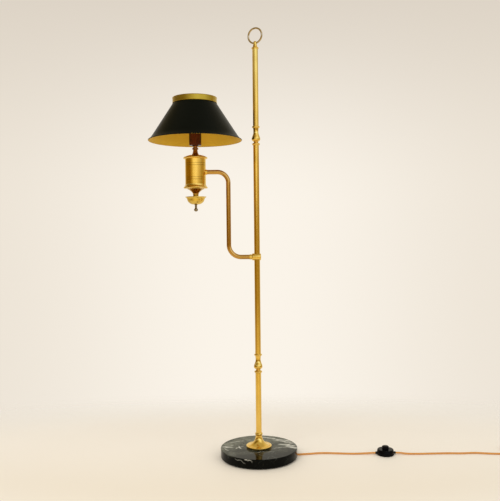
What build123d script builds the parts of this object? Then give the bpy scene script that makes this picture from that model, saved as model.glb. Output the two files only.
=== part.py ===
from build123d import *
import os
from math import asin, cos, degrees, pi, radians, sin, sqrt, tan

# Pharmacy floor lamp, in millimetres, +Z up.
# The origin is the centre of the base's underside, where the pole's axis meets the floor.
# The arm points to -X, the lead leaves to +X, and the front of the lamp faces -Y.

# ---- fits ----
FIT = 0.1            # radial clearance of a fixed joint: thread, plug or soldered socket
RUN = 0.08           # radial clearance of the swivel
SEAT = 0.3           # gap under a piece that rests on a curved or sloping one

# ---- flex ----
CORD_D = 6.5         # round braided flex
CORD_R = CORD_D / 2
CORD_HEADING = 5.0   # degrees from +X towards +Y, where the lead leaves the base

# ---- base ----
BASE_D = 277.0
SLAB_T = 34.0
SLAB_TOP_ROUND = 2.0
SLAB_FOOT_ROUND = 6.0
PAD_T = 2.0
PAD_INSET = 9.0
RECESS_D = 46.0
RECESS_DEPTH = 19.5
GROOVE_W = 8.5
GROOVE_H = 8.5       # above the floor
CLIP_LENGTH = 16.0
CLIP_INSET = 4.5     # from the slab's edge
FLEX_BEND_R = 12.0   # where the flex turns up into the nipple

# ---- nipple, nut and washer that clamp the slab ----
NIPPLE_OD = 10.0
NIPPLE_ID = 7.5
NUT_AF = 17.0
NUT_T = 4.0
NIPPLE_TAIL = 0.5    # thread that shows below the nut
WASHER_D = 32.0
WASHER_T = 1.5

# ---- flange ----
FLANGE_D = 92.0
FLANGE_H = 44.0
FLANGE_NECK_D = 22.6
FLANGE_RIM_H = 8.5
FLANGE_WALL = 3.0
FLANGE_LINE = 1.6    # height, and depth, of the turned line under the collar
COLLAR_D = 27.0
COLLAR_H = 9.5

# ---- pole ----
POLE_OD = 20.6
POLE_WALL = 1.2
PLUG_LENGTH = 18.0   # how far a turned piece reaches into a tube
FLEX_WAY = 9.0       # bore for the flex through every turned piece
FLEX_ROOM = 0.75     # round the flex where the swivel moves past it
LOWER_TUBE_L = 216.5
KNOP_H = 69.0
KNOP_RING_D = 28.0
KNOP_BELLY_D = 31.0
KNOP_NECK_D = 18.8
KNOP_WAIST_D = 16.4  # under the belly
LOWER_MID_L = 335.5
UPPER_MID_L = 385.5
UPPER_TUBE_L = 274.5

# ---- swivel ----
THRUST_T = 0.8
KNUCKLE_H = 27.4
KNUCKLE_LEFT = 18.4
KNUCKLE_RIGHT = 14.0
KNUCKLE_ROUND = 3.5
KNUCKLE_CROWN = 0.9
BOSS_PROUD = 0.3     # of the upright boss above and below the barrel
SPIGOT_OD = 16.0
SWING_LIMIT = 90.0
STOP_SCREW_D = 4.0
STOP_TIP_D = 3.0
STOP_LIFT = 8.0      # of the stop screw above the arm's axis
STOP_GROOVE_DEPTH = 1.5

# ---- top of the pole ----
CAP_RING_D = 26.0
CAP_RING_H = 5.5
EYE_FOOT_D = 17.0
EYE_D = 12.8
EYE_H = 23.0
RING_WIRE_D = 6.4
RING_D = 60.0        # outside
RING_TURN = -28.0    # of the ring and its hole about the pole, as it was brazed

# ---- arm ----
ARM_OD = 16.5
ARM_WALL = 1.2
ARM_OUT = 101.0      # pole's axis to the arm's upright
ARM_RISE = 306.0
ARM_LOW_BEND = 44.0
ARM_TOP_BEND = 39.0
ARM_SOCKET = 9.0
FERRULE_D = 18.8
FERRULE_L = 8.6
FERRULE_FONT_L = 5.0
ARM_NUT_AF = 22.0
ARM_NUT_T = 4.0
ARM_TAIL = 9.0       # of arm tube inside the font's wall

# ---- font: the drum that the arm carries ----
HEAD_X = -218.0
FONT_D = 74.0
FONT_WALL = 1.2
FONT_ABOVE = 47.0    # of the arm's axis
FONT_BELOW = 43.0
FONT_LINE_W = 2.0
FONT_LINE_DEPTH = 0.6
FONT_LINES = (-26.5, -19.0, 24.0, 31.5)   # heights of the turned lines above the arm's axis
LID_D = 87.0
LID_BEAD_H = 7.0
LID_RISE = 15.0
LIP_H = 4.0
FOOT_D = 86.0
FOOT_H = 16.5
FOOT_EDGE_H = 5.5
STEM_TOP_D = 62.0
STEM_END_D = 19.5
STEM_H = 28.0        # down to where it is a plain tube
ROD_OD = 10.0
ROD_ID = 7.4
ROD_SLOT_W = 7.2

# ---- bowl and finial ----
BOWL_D = 77.0
BOWL_H = 27.5
BOWL_FLOOR_D = 23.0
BOWL_WALL = 1.6
BOWL_DROP = 0.5      # rim below the stem's taper
FINIAL_SHOULDER_D = 12.0
FINIAL_SHOULDER_H = 1.5
FINIAL_ROD_D = 8.0
FINIAL_ROD_L = 12.0
FINIAL_KNOB_D = 14.5
FINIAL_KNOB_H = 12.5
FINIAL_THREAD_L = 22.0

# ---- lampholder ----
NECK_H = 31.0
NECK_FOOT_D = 27.0
NECK_WAIST_D = 15.6
NECK_BEAD_D = 22.5
HOLDER_D = 44.0
HOLDER_COLLAR_D = 23.0
HOLDER_COLLAR_H = 2.5
HOLDER_CAP_H = 26.5
HOLDER_ROUND = 2.5
HOLDER_WALL = 2.4
SKIRT_H = 52.0
SKIRT_FLANGE_D = 50.0
SKIRT_FLANGE_T = 2.0
SKIRT_FLANGE_UP = 40.0
INSERT_D = 38.0
INSERT_H = 22.0
INSERT_LEDGE = 16.5  # above the cap's underside
SHELL_D = 29.0
SHELL_WALL = 0.8
SHELL_H = 26.0
SHADE_RING_D = 56.0
SHADE_RING_H = 7.5
SHADE_RING_NOTCHES = 24
NOTCH_R = 1.1

# ---- bulb ----
BULB_CAP_D = 26.4
BULB_CAP_H = 27.0
BULB_TIP_H = 2.0
BULB_D = 60.0
BULB_L = 77.0        # glass above the cap
BULB_NECK_D = 29.0
GLASS_T = 0.8

# ---- shade ----
SHADE_TOP_D = 157.6
SHADE_FLARE_D = 302.0
SHADE_RIM_D = 336.0
SHADE_CONE_H = 112.5
SHADE_FLARE_H = 20.0
SHADE_COLLAR_H = 18.0
SHADE_T = 0.8
RIM_BEAD_D = 2.8
BAND_H = 20.0
BAND_T = 1.1
BAND_BEAD_D = 1.8
SPIDER_T = 1.5
SPIDER_WIRE_D = 3.0
SPIDER_ARMS = 3
SPIDER_HOOP_D = 254.6
SPIDER_RING_W = 1.5   # of the inner ring, beyond the ring nut

# ---- foot switch ----
SWITCH_X = 460.0
SWITCH_Y = 10.0
SWITCH_D = 62.0
SWITCH_H = 21.0
SWITCH_WALL = 2.0
SWITCH_FOOT = 1.6
SWITCH_FLOOR_T = 2.0
SWITCH_SHOULDER_D = 52.0
SWITCH_FULLNESS = 1.7   # how far the cover's side has come in at four fifths of its height
BUTTON_D = 24.0
BUTTON_RISE = 12.0
BUTTON_FLANGE_D = 29.0
BUTTON_FLANGE_T = 2.0
BUTTON_GAP = 0.3
BUTTON_WALL = 2.4
BUTTON_CROWN = 1.2
BUTTON_POST_H = 6.0   # under the button's roof, inside the spring
SPRING_D = 10.0
SPRING_WIRE = 1.0
SPRING_PITCH = 4.0
SPRING_SEAT = 0.05
SPRING_POST_R = 3.2
SPRING_POST_H = 5.0   # on the switch's floor
BOSS_R = 19.0
BOSS_D = 7.0
SWITCH_SCREW_D = 2.8
SWITCH_HEAD_D = 5.6
SWITCH_HEAD_T = 1.5
BLOCK_SIZE = (7.6, 12.0, 7.0)
BLOCK_X = 19.4
TERMINAL_D = 3.0
TERMINAL_H = 1.0
SLEEVE_OUT = 6.0     # of the flex sleeve beyond the switch's side
SLEEVE_SEAT = 2.0    # inside the switch's wall
SLEEVE_WALL = 1.4
SLEEVE_TIP_WALL = 0.8

# ---- coil of spare flex, and plug ----
COIL_X = 948.0
COIL_Y = 38.0
COIL_TURN_R = 42.0   # middle of the outer turn
COIL_TURNS = 3       # side by side, in each of two layers
COIL_LAYERS = 2
COIL_LEAD = 28.0     # straight flex that joins the outer turn
PLUG_X = 1006.0
PLUG_L = 48.0
PLUG_W = 50.0
PLUG_END_W = 26.0
PLUG_T = 20.0
PIN_PITCH = 22.2
PIN_ROW_X = 14.0     # the two lower pins, from the plug's flex end
LIVE_PIN = (4.0, 6.35, 17.7)
EARTH_PIN = (8.0, 4.0, 22.7)
PIN_SEAT = 6.0        # of each pin inside the plug
RELIEF_L = 26.0
RELIEF_END_D = 9.0
RELIEF_ROOT_D = 14.0
RELIEF_GROOVE = 0.9   # depth, and half width, of its grooves
RELIEF_PITCH = 5.0

# ---- levels ----
SLAB_Z = PAD_T
SLAB_TOP = SLAB_Z + SLAB_T
RECESS_TOP = SLAB_Z + RECESS_DEPTH
WASHER_Z = RECESS_TOP - WASHER_T
NUT_Z = WASHER_Z - NUT_T
NIPPLE_Z = NUT_Z - NIPPLE_TAIL
FLANGE_TOP = SLAB_TOP + FLANGE_H
COLLAR_TOP = FLANGE_TOP + COLLAR_H
LOWER_KNOP_Z = COLLAR_TOP + LOWER_TUBE_L
LOWER_MID_Z = LOWER_KNOP_Z + KNOP_H
THRUST_LOW_Z = LOWER_MID_Z + LOWER_MID_L
KNUCKLE_Z = THRUST_LOW_Z + THRUST_T
ARM_Z = KNUCKLE_Z + KNUCKLE_H / 2
THRUST_TOP_Z = KNUCKLE_Z + KNUCKLE_H
UPPER_MID_Z = THRUST_TOP_Z + THRUST_T
UPPER_KNOP_Z = UPPER_MID_Z + UPPER_MID_L
UPPER_TUBE_Z = UPPER_KNOP_Z + KNOP_H
CAP_Z = UPPER_TUBE_Z + UPPER_TUBE_L
FONT_MID = ARM_Z + ARM_RISE
FONT_Z = FONT_MID - FONT_BELOW
FONT_TOP = FONT_MID + FONT_ABOVE
LID_TOP = FONT_TOP + LID_RISE
FOOT_Z = FONT_Z - FOOT_H
STEM_Z = FOOT_Z - STEM_H
BOWL_RIM_Z = STEM_Z - BOWL_DROP
BOWL_Z = BOWL_RIM_Z - BOWL_H
BOWL_FLOOR = BOWL_Z + BOWL_WALL
HOLDER_Z = LID_TOP + NECK_H
CAP_FLOOR_Z = HOLDER_Z + HOLDER_COLLAR_H
SKIRT_Z = CAP_FLOOR_Z + HOLDER_CAP_H
INSERT_Z = CAP_FLOOR_Z + INSERT_LEDGE
SHELL_Z = INSERT_Z + INSERT_H
SPIDER_Z = SKIRT_Z + SKIRT_FLANGE_UP + SKIRT_FLANGE_T
SHADE_RING_Z = SPIDER_Z + SPIDER_T
BULB_TIP_Z = SHELL_Z + SHELL_WALL + 1.2
BULB_CAP_Z = BULB_TIP_Z + BULB_TIP_H
BULB_Z = BULB_CAP_Z + BULB_CAP_H

# ---- derived sizes ----
BASE_R = BASE_D / 2
POLE_R = POLE_OD / 2
PLUG_R = POLE_R - POLE_WALL - FIT
WAY_R = FLEX_WAY / 2
NIPPLE_R = NIPPLE_OD / 2
SPIGOT_R = SPIGOT_OD / 2
FLEX_Z = CORD_R                    # the flex lies on the floor in the base's groove
SWITCH_FLOOR_Z = SWITCH_FOOT + SWITCH_FLOOR_T
SWITCH_INLET_Z = SWITCH_FLOOR_Z + CORD_R + 2 * FIT
SWITCH_INLET_R = CORD_R + SLEEVE_WALL
FLEX_END_R = BASE_R - CLIP_INSET
FONT_R = FONT_D / 2
ROD_R = ROD_OD / 2
HOLDER_R = HOLDER_D / 2
SHADE_SLOPE = (SHADE_FLARE_D - SHADE_TOP_D) / 2 / SHADE_CONE_H
SHADE_HALF = sqrt(1 + SHADE_SLOPE ** 2)
COIL_BAND = COIL_TURNS * CORD_D
COIL_OUT_R = COIL_TURN_R + CORD_R
COIL_H = COIL_LAYERS * CORD_D
TAIL_Y = COIL_Y - COIL_TURN_R
TAIL_Z = COIL_H - CORD_R


# ---- helpers ----
def turned(*edges, x=0.0):
    """Solid of revolution about the vertical line at x; the edges' X is a radius, their Y a height."""
    outline = make_face(Wire(list(edges)))
    return Pos(x, 0, 0) * revolve(Plane.XZ * outline, Axis.Z)


def outline(*points):
    """Closed run of straight edges through the points."""
    return Polyline(*points, close=True).edges()


def disc(radius, z0, z1, x=0.0, y=0.0):
    return Pos(x, y, z0) * Cylinder(radius, z1 - z0, align=(Align.CENTER, Align.CENTER, Align.MIN))


def pipe(outer, inner, z0, z1, x=0.0, y=0.0):
    return disc(outer, z0, z1, x, y) - disc(inner, z0 - 1, z1 + 1, x, y)


def hexagon(across_flats, z0, z1):
    flat = RegularPolygon(across_flats / 2, 6, major_radius=False)
    return Pos(0, 0, z0) * extrude(flat, z1 - z0)


def sector(r0, r1, z0, z1, middle, half):
    """Piece of a ring that spans half degrees each side of the direction middle."""
    ring = Plane.XZ * make_face(outline((r0, z0), (r1, z0), (r1, z1), (r0, z1)))
    return Rot(0, 0, middle - half) * revolve(ring, Axis.Z, revolution_arc=2 * half)


def along(path, radius):
    """Round solid of the given radius swept along a path."""
    section = Plane(origin=path @ 0, z_dir=path % 0) * Circle(radius)
    return sweep(section, path=path)


def route(points, diameter, name):
    """Tube along straight runs joined by the largest tangent arcs that the runs allow."""
    runs = [Vector(b) - Vector(a) for a, b in zip(points, points[1:])]
    radii = []
    for before, after in zip(runs, runs[1:]):
        half_turn = radians(before.get_angle(after)) / 2
        radii.append(0.45 * min(before.length, after.length) / tan(half_turn))
    path = FilletPolyline(*points, radius=radii)
    tube = along(path, diameter / 2)
    straight = path.length * pi * diameter ** 2 / 4
    print(f"{name}: length {path.length:.0f}, radii {[round(r) for r in radii]},",
          f"volume ratio {tube.volume / straight:.4f}")
    return tube


def bead(z0, z1, radius, root):
    """Half-round turned bead, as an edge from (root, z0) to (root, z1)."""
    return ThreePointArc((root, z0), (radius, (z0 + z1) / 2), (root, z1))


# ---- base ----
def base_slab():
    slab = disc(BASE_R, SLAB_Z, SLAB_TOP)
    slab = fillet(slab.edges().group_by(Axis.Z)[-1], SLAB_TOP_ROUND)
    slab = fillet(slab.edges().group_by(Axis.Z)[0], SLAB_FOOT_ROUND)
    slab -= disc(RECESS_D / 2, 0, RECESS_TOP)
    slab -= disc(NIPPLE_R + 5 * FIT, 0, SLAB_TOP + 1)
    groove = Pos(BASE_R / 2, 0, 0) * Box(BASE_R, GROOVE_W, 2 * GROOVE_H)
    return slab - Rot(0, 0, CORD_HEADING) * groove


def base_pad():
    pad_r = BASE_R - PAD_INSET
    pad = disc(pad_r, 0, PAD_T)
    slot_start = FLEX_BEND_R / 4
    slot = Pos((pad_r + slot_start) / 2 + 1, 0, 0) * Box(pad_r - slot_start + 2, GROOVE_W, 3 * PAD_T)
    return pad - Rot(0, 0, CORD_HEADING) * slot


def cord_clip():
    """Clip in the groove, pressed over the flex just inside the slab's edge."""
    way = CORD_R + FIT
    width, height = GROOVE_W - 2 * FIT, GROOVE_H - FIT - PAD_T
    body = Pos(0, 0, PAD_T) * Box(CLIP_LENGTH, width, height, align=(Align.MAX, Align.CENTER, Align.MIN))
    body -= Pos(0, 0, FLEX_Z) * Rot(0, 90, 0) * Cylinder(way, 4 * CLIP_LENGTH)
    body -= Box(4 * CLIP_LENGTH, 2 * way, 2 * FLEX_Z)
    return Rot(0, 0, CORD_HEADING) * Pos(FLEX_END_R, 0, 0) * body


def base_washer():
    return pipe(WASHER_D / 2, NIPPLE_R + FIT, WASHER_Z, RECESS_TOP)


def base_nut():
    return hexagon(NUT_AF, NUT_Z, WASHER_Z) - disc(NIPPLE_R + FIT, 0, RECESS_TOP)


def base_nipple():
    return pipe(NIPPLE_R, NIPPLE_ID / 2, NIPPLE_Z, COLLAR_TOP)


def base_flange():
    """Hollow bell with a rounded rim, and a turned line between the two."""
    foot, neck = FLANGE_D / 2, FLANGE_NECK_D / 2
    way = NIPPLE_R + FIT
    z, rim_top = SLAB_TOP, SLAB_TOP + FLANGE_RIM_H
    line_r = foot - 8.0
    line_z = FLANGE_TOP - FLANGE_LINE
    bell = Spline(
        (line_r, rim_top), (0.62 * foot, z + 0.29 * FLANGE_H), (0.45 * foot, z + 0.43 * FLANGE_H),
        (neck + 4.4, z + 0.58 * FLANGE_H), (neck, line_z), tangents=((-1, 0.2), (-0.1, 1)),
    )
    hollow = Spline(
        (foot - FLANGE_WALL - 1.0, z), (0.55 * foot, z + 0.17 * FLANGE_H), (neck + 2.0, z + 0.38 * FLANGE_H),
        (way + 0.8, FLANGE_TOP - 2 * FLANGE_WALL), tangents=((-1, 0.1), (-0.1, 1)),
    )
    return turned(
        Line((foot - FLANGE_WALL - 1.0, z), (foot - FLANGE_WALL, z)),
        Spline((foot - FLANGE_WALL, z), (foot - 0.9, z + 0.44 * FLANGE_RIM_H),
               (foot, z + 0.74 * FLANGE_RIM_H), (foot - 2.4, rim_top - 0.4)),
        ThreePointArc((foot - 2.4, rim_top - 0.4), (foot - 4.4, rim_top), (line_r, rim_top - 1.4)),
        Line((line_r, rim_top - 1.4), (line_r, rim_top)),
        bell,
        Line((neck, line_z), (neck - FLANGE_LINE, line_z)),
        Line((neck - FLANGE_LINE, line_z), (neck - FLANGE_LINE, FLANGE_TOP)),
        Line((neck - FLANGE_LINE, FLANGE_TOP), (way, FLANGE_TOP)),
        Line((way, FLANGE_TOP), (way + 0.8, FLANGE_TOP - 2 * FLANGE_WALL)),
        hollow,
    )


def flange_collar():
    ring = turned(
        Line((NIPPLE_R + FIT, FLANGE_TOP), (COLLAR_D / 2 - 1.4, FLANGE_TOP)),
        bead(FLANGE_TOP, COLLAR_TOP - 1.0, COLLAR_D / 2, COLLAR_D / 2 - 1.4),
        Line((COLLAR_D / 2 - 1.4, COLLAR_TOP - 1.0), (POLE_R, COLLAR_TOP)),
        Line((POLE_R, COLLAR_TOP), (NIPPLE_R + FIT, COLLAR_TOP)),
        Line((NIPPLE_R + FIT, COLLAR_TOP), (NIPPLE_R + FIT, FLANGE_TOP)),
    )
    return ring + pipe(PLUG_R, NIPPLE_R + FIT, COLLAR_TOP, COLLAR_TOP + PLUG_LENGTH)


# ---- pole ----
def pole_tube(z0, length):
    return pipe(POLE_R, POLE_R - POLE_WALL, z0, z0 + length)


def knop(z0):
    """Turned vase between two tubes, with a plug that reaches into each of them."""
    ring = KNOP_RING_D / 2
    neck = KNOP_NECK_D / 2
    foot_bead, top_bead = 8.0, 7.0
    top = z0 + KNOP_H
    waist = KNOP_WAIST_D / 2
    belly = KNOP_BELLY_D / 2
    vase = Spline(
        (POLE_R, z0 + foot_bead), (waist, z0 + 0.175 * KNOP_H), (0.91 * belly, z0 + 0.255 * KNOP_H),
        (belly, z0 + 0.34 * KNOP_H), (0.88 * belly, z0 + 0.45 * KNOP_H), (neck + 0.6, z0 + 0.6 * KNOP_H),
        (neck - 0.2, z0 + 0.74 * KNOP_H), (POLE_R, top - top_bead),
    )
    body = turned(
        Line((WAY_R, z0), (POLE_R, z0)),
        bead(z0, z0 + foot_bead, ring, POLE_R),
        vase,
        bead(top - top_bead, top, ring, POLE_R),
        Line((POLE_R, top), (WAY_R, top)),
        Line((WAY_R, top), (WAY_R, z0)),
    )
    return body + pipe(PLUG_R, WAY_R, z0 - PLUG_LENGTH, z0) + pipe(PLUG_R, WAY_R, top, top + PLUG_LENGTH)


def top_cap():
    """Cap with the drilled eye that holds the carrying ring."""
    ring = CAP_RING_D / 2
    eye = EYE_D / 2
    top = CAP_Z + CAP_RING_H
    body = turned(
        Line((0, CAP_Z), (POLE_R, CAP_Z)),
        bead(CAP_Z, top, ring, POLE_R),
        Line((POLE_R, top), (EYE_FOOT_D / 2, top + 2.0)),
        Spline((EYE_FOOT_D / 2, top + 2.0), (eye, top + 0.48 * EYE_H), (0.98 * eye, top + 0.76 * EYE_H),
               (0, top + EYE_H), tangents=((-0.15, 1), (-1, 0))),
        Line((0, top + EYE_H), (0, CAP_Z)),
    )
    body += disc(PLUG_R, CAP_Z - PLUG_LENGTH, CAP_Z)
    return body - ring_torus(RING_WIRE_D / 2 + FIT)


def ring_torus(wire_r):
    middle_r = (RING_D - RING_WIRE_D) / 2
    hole_z = CAP_Z + CAP_RING_H + 0.66 * EYE_H
    return Pos(0, 0, hole_z + middle_r) * Rot(0, 0, RING_TURN) * Rot(90, 0, 0) * Torus(middle_r, wire_r)


def ring_handle():
    return ring_torus(RING_WIRE_D / 2)


# ---- swivel ----
def swivel_spigot():
    top = UPPER_MID_Z + PLUG_LENGTH
    body = disc(PLUG_R, THRUST_LOW_Z - PLUG_LENGTH, THRUST_LOW_Z) + disc(SPIGOT_R, THRUST_LOW_Z, top)
    body -= disc(WAY_R, 0, top + 1)
    window_h, window_w = CORD_D + 2 * FLEX_ROOM, CORD_D + 2 * FLEX_ROOM
    window = sector(WAY_R - 1, SPIGOT_R + 1, ARM_Z - window_h / 2, ARM_Z + window_h / 2, 180, SWING_LIMIT)
    end_of_window = Pos((SPIGOT_R + 1) / 2, 0, ARM_Z) * Box(SPIGOT_R + 1, window_w, window_h)
    for side in (-1, 1):
        window += Rot(0, 0, 180 + side * SWING_LIMIT) * end_of_window
    groove_r = SPIGOT_R - STOP_GROOVE_DEPTH
    stop_half = SWING_LIMIT + degrees(asin((STOP_TIP_D / 2 + 0.1) / groove_r))
    stop_z = ARM_Z + STOP_LIFT
    groove = sector(
        groove_r, SPIGOT_R + 1, stop_z - STOP_TIP_D / 2 - 0.3, stop_z + STOP_TIP_D / 2 + 0.3, 90, stop_half
    )
    return body - window - groove


def swivel_socket():
    return pipe(PLUG_R, SPIGOT_R + FIT, UPPER_MID_Z, UPPER_MID_Z + PLUG_LENGTH)


def swivel_washers():
    return [
        pipe(POLE_R, SPIGOT_R + 2 * FIT, THRUST_LOW_Z, KNUCKLE_Z),
        pipe(POLE_R, SPIGOT_R + 2 * FIT, THRUST_TOP_Z, UPPER_MID_Z),
    ]


def swivel_knuckle():
    """Crowned barrel along the arm, with an upright boss that continues the pole."""
    r = KNUCKLE_H / 2 - BOSS_PROUD
    end = r - KNUCKLE_CROWN
    k = KNUCKLE_ROUND
    barrel = turned(
        Line((0, -KNUCKLE_LEFT), (end - k, -KNUCKLE_LEFT)),
        RadiusArc((end - k, -KNUCKLE_LEFT), (end, k - KNUCKLE_LEFT), -k),
        ThreePointArc((end, k - KNUCKLE_LEFT), (r, 0), (end, KNUCKLE_RIGHT - k)),
        RadiusArc((end, KNUCKLE_RIGHT - k), (end - k, KNUCKLE_RIGHT), -k),
        Line((end - k, KNUCKLE_RIGHT), (0, KNUCKLE_RIGHT + 0.6)),
        Line((0, KNUCKLE_RIGHT + 0.6), (0, -KNUCKLE_LEFT)),
    )
    body = Pos(0, 0, ARM_Z) * Rot(0, 90, 0) * Rot(0, 0, 90) * barrel
    body += disc(POLE_R, KNUCKLE_Z, THRUST_TOP_Z)
    body -= disc(SPIGOT_R + RUN, KNUCKLE_Z - 1, THRUST_TOP_Z + 1)
    along_arm = Pos(-KNUCKLE_LEFT, 0, ARM_Z) * Rot(0, 90, 0)
    body -= along_arm * Cylinder(ARM_OD / 2 + FIT, 2 * ARM_SOCKET)
    body -= along_arm * Cylinder(CORD_R + FLEX_ROOM, 2 * (KNUCKLE_LEFT - SPIGOT_R / 2))
    return body - rearward(STOP_SCREW_D / 2 + FIT / 2, SPIGOT_R / 2, KNUCKLE_H)


def rearward(radius, y0, y1):
    """Cylinder along Y at the stop screw's place."""
    solid = Cylinder(radius, y1 - y0, align=(Align.CENTER, Align.CENTER, Align.MIN))
    return Pos(0, y0, ARM_Z + STOP_LIFT) * Rot(-90, 0, 0) * solid


def stop_screw():
    """Grub screw at the knuckle's back, whose tip runs in the spigot's groove."""
    shank_in = SPIGOT_R + 0.4
    outside = POLE_R - 0.2
    screw = rearward(STOP_SCREW_D / 2, shank_in, outside)
    screw += rearward(STOP_TIP_D / 2, SPIGOT_R - STOP_GROOVE_DEPTH + 0.3, shank_in)
    slot = Pos(0, outside, ARM_Z + STOP_LIFT) * Box(STOP_SCREW_D + 1, 1.2, 0.7)
    return screw - slot


# ---- arm ----
def arm_path(start_x, end_x):
    points = [(start_x, 0, ARM_Z), (-ARM_OUT, 0, ARM_Z), (-ARM_OUT, 0, FONT_MID), (end_x, 0, FONT_MID)]
    return FilletPolyline(*points, radius=[ARM_LOW_BEND, ARM_TOP_BEND])


def arm_tube():
    start = FIT - KNUCKLE_LEFT + ARM_SOCKET - 2 * FIT
    path = arm_path(start, HEAD_X + FONT_R - ARM_TAIL)
    return along(path, ARM_OD / 2) - along(path, ARM_OD / 2 - ARM_WALL)


def arm_ferrules():
    """Collar at the knuckle, and a saddle-ended collar against the font."""
    bore = ARM_OD / 2 + FIT
    lying = Rot(0, 90, 0)
    at_knuckle = Pos(-KNUCKLE_LEFT - FERRULE_L, 0, ARM_Z) * lying * pipe(FERRULE_D / 2, bore, 0, FERRULE_L)
    outer_x = HEAD_X + FONT_R + FERRULE_FONT_L
    at_font = Pos(outer_x, 0, FONT_MID) * lying * pipe(FERRULE_D / 2, bore, -2 * FERRULE_FONT_L, 0)
    at_font -= disc(FONT_R, FONT_Z, FONT_TOP, HEAD_X)
    return [at_knuckle, at_font]


def arm_nut():
    inner = FONT_R - FONT_WALL
    seat = sqrt(inner ** 2 - (ARM_NUT_AF / 2 / cos(radians(30))) ** 2)
    nut = hexagon(ARM_NUT_AF, -ARM_NUT_T, 0) - disc(ARM_OD / 2 + FIT, -2 * ARM_NUT_T, 1)
    return Pos(HEAD_X + seat - FIT, 0, FONT_MID) * Rot(0, 90, 0) * nut


# ---- font ----
def font_body():
    body = pipe(FONT_R, FONT_R - FONT_WALL, FONT_Z, FONT_TOP, HEAD_X)
    for height in FONT_LINES:
        z = FONT_MID + height
        body -= pipe(FONT_R + 1, FONT_R - FONT_LINE_DEPTH, z - FONT_LINE_W / 2, z + FONT_LINE_W / 2, HEAD_X)
    hole = Pos(HEAD_X + FONT_R, 0, FONT_MID) * Rot(0, 90, 0) * Cylinder(ARM_OD / 2 + FIT, FONT_R)
    return body - hole


def font_lid():
    edge = LID_D / 2
    root = edge - 2.6
    bead_top = FONT_TOP + LID_BEAD_H
    lip = FONT_R - FONT_WALL - FIT
    way = ROD_R + FIT
    return turned(
        Line((FONT_R, FONT_TOP), (root, FONT_TOP + 0.6)),
        bead(FONT_TOP + 0.6, bead_top, edge, root),
        Spline((root, bead_top), (0.8 * edge, FONT_TOP + 0.66 * LID_RISE),
               (0.5 * edge, FONT_TOP + 0.92 * LID_RISE), (NECK_FOOT_D / 2, LID_TOP)),
        Line((NECK_FOOT_D / 2, LID_TOP), (way, LID_TOP)),
        Line((way, LID_TOP), (way, LID_TOP - 3)),
        Line((way, LID_TOP - 3), (0.5 * edge, FONT_TOP + 0.72 * LID_RISE)),
        Line((0.5 * edge, FONT_TOP + 0.72 * LID_RISE), (lip - 1.5, FONT_TOP + 1.5)),
        Line((lip - 1.5, FONT_TOP + 1.5), (lip - 1.5, FONT_TOP - LIP_H)),
        Line((lip - 1.5, FONT_TOP - LIP_H), (lip, FONT_TOP - LIP_H)),
        Line((lip, FONT_TOP - LIP_H), (lip, FONT_TOP)),
        Line((lip, FONT_TOP), (FONT_R, FONT_TOP)),
        x=HEAD_X,
    )


def font_foot():
    """Flared foot that closes the font from below."""
    edge = FOOT_D / 2
    root = edge - 1.4
    lip = FONT_R - FONT_WALL - FIT
    way = ROD_R + FIT
    edge_z = FOOT_Z + 0.1 * FOOT_H
    edge_top = edge_z + FOOT_EDGE_H
    return turned(
        Line((lip, FONT_Z), (FONT_R, FONT_Z)),
        Spline((FONT_R, FONT_Z), (FONT_R + 1.3, (FONT_Z + edge_top) / 2), (root, edge_top),
               tangents=((0, -1), (1, -0.5))),
        ThreePointArc((root, edge_top), (edge, (edge_z + edge_top) / 2), (root, edge_z)),
        Line((root, edge_z), (STEM_TOP_D / 2, FOOT_Z)),
        Line((STEM_TOP_D / 2, FOOT_Z), (way, FOOT_Z)),
        Line((way, FOOT_Z), (way, FOOT_Z + 4)),
        Line((way, FOOT_Z + 4), (lip - 4, FONT_Z - 0.3 * FOOT_H)),
        Line((lip - 4, FONT_Z - 0.3 * FOOT_H), (lip - 1.5, FONT_Z + LIP_H)),
        Line((lip - 1.5, FONT_Z + LIP_H), (lip, FONT_Z + LIP_H)),
        Line((lip, FONT_Z + LIP_H), (lip, FONT_Z)),
        x=HEAD_X,
    )


def font_stem():
    """Trumpet below the font, whose tube stands on the bowl's floor."""
    wide, narrow = STEM_TOP_D / 2, STEM_END_D / 2
    flare = wide - narrow
    way = ROD_R + FIT
    return turned(
        Line((way, FOOT_Z), (wide, FOOT_Z)),
        Line((wide, FOOT_Z), (wide - 0.6, FOOT_Z - 1.0)),
        Spline((wide - 0.6, FOOT_Z - 1.0), (narrow + 0.47 * flare, FOOT_Z - 0.24 * STEM_H),
               (narrow + 0.11 * flare, FOOT_Z - 0.5 * STEM_H), (narrow, STEM_Z),
               tangents=((-1, -0.3), (-0.03, -1))),
        Line((narrow, STEM_Z), (narrow, BOWL_FLOOR)),
        Line((narrow, BOWL_FLOOR), (way, BOWL_FLOOR)),
        Line((way, BOWL_FLOOR), (way, FOOT_Z)),
        x=HEAD_X,
    )


def lamp_rod():
    """Threaded tube that clamps the head together, slotted where the flex comes in from the arm."""
    rod = pipe(ROD_R, ROD_ID / 2, BOWL_FLOOR + SEAT, INSERT_Z - 2, HEAD_X)
    slot_h = FLEX_BEND_R + 2 * CORD_R + 8
    slot = Pos(HEAD_X + ROD_R, 0, FONT_MID - CORD_R - 2) * Box(
        ROD_OD, ROD_SLOT_W, slot_h, align=(Align.CENTER, Align.CENTER, Align.MIN)
    )
    return rod - slot


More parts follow.
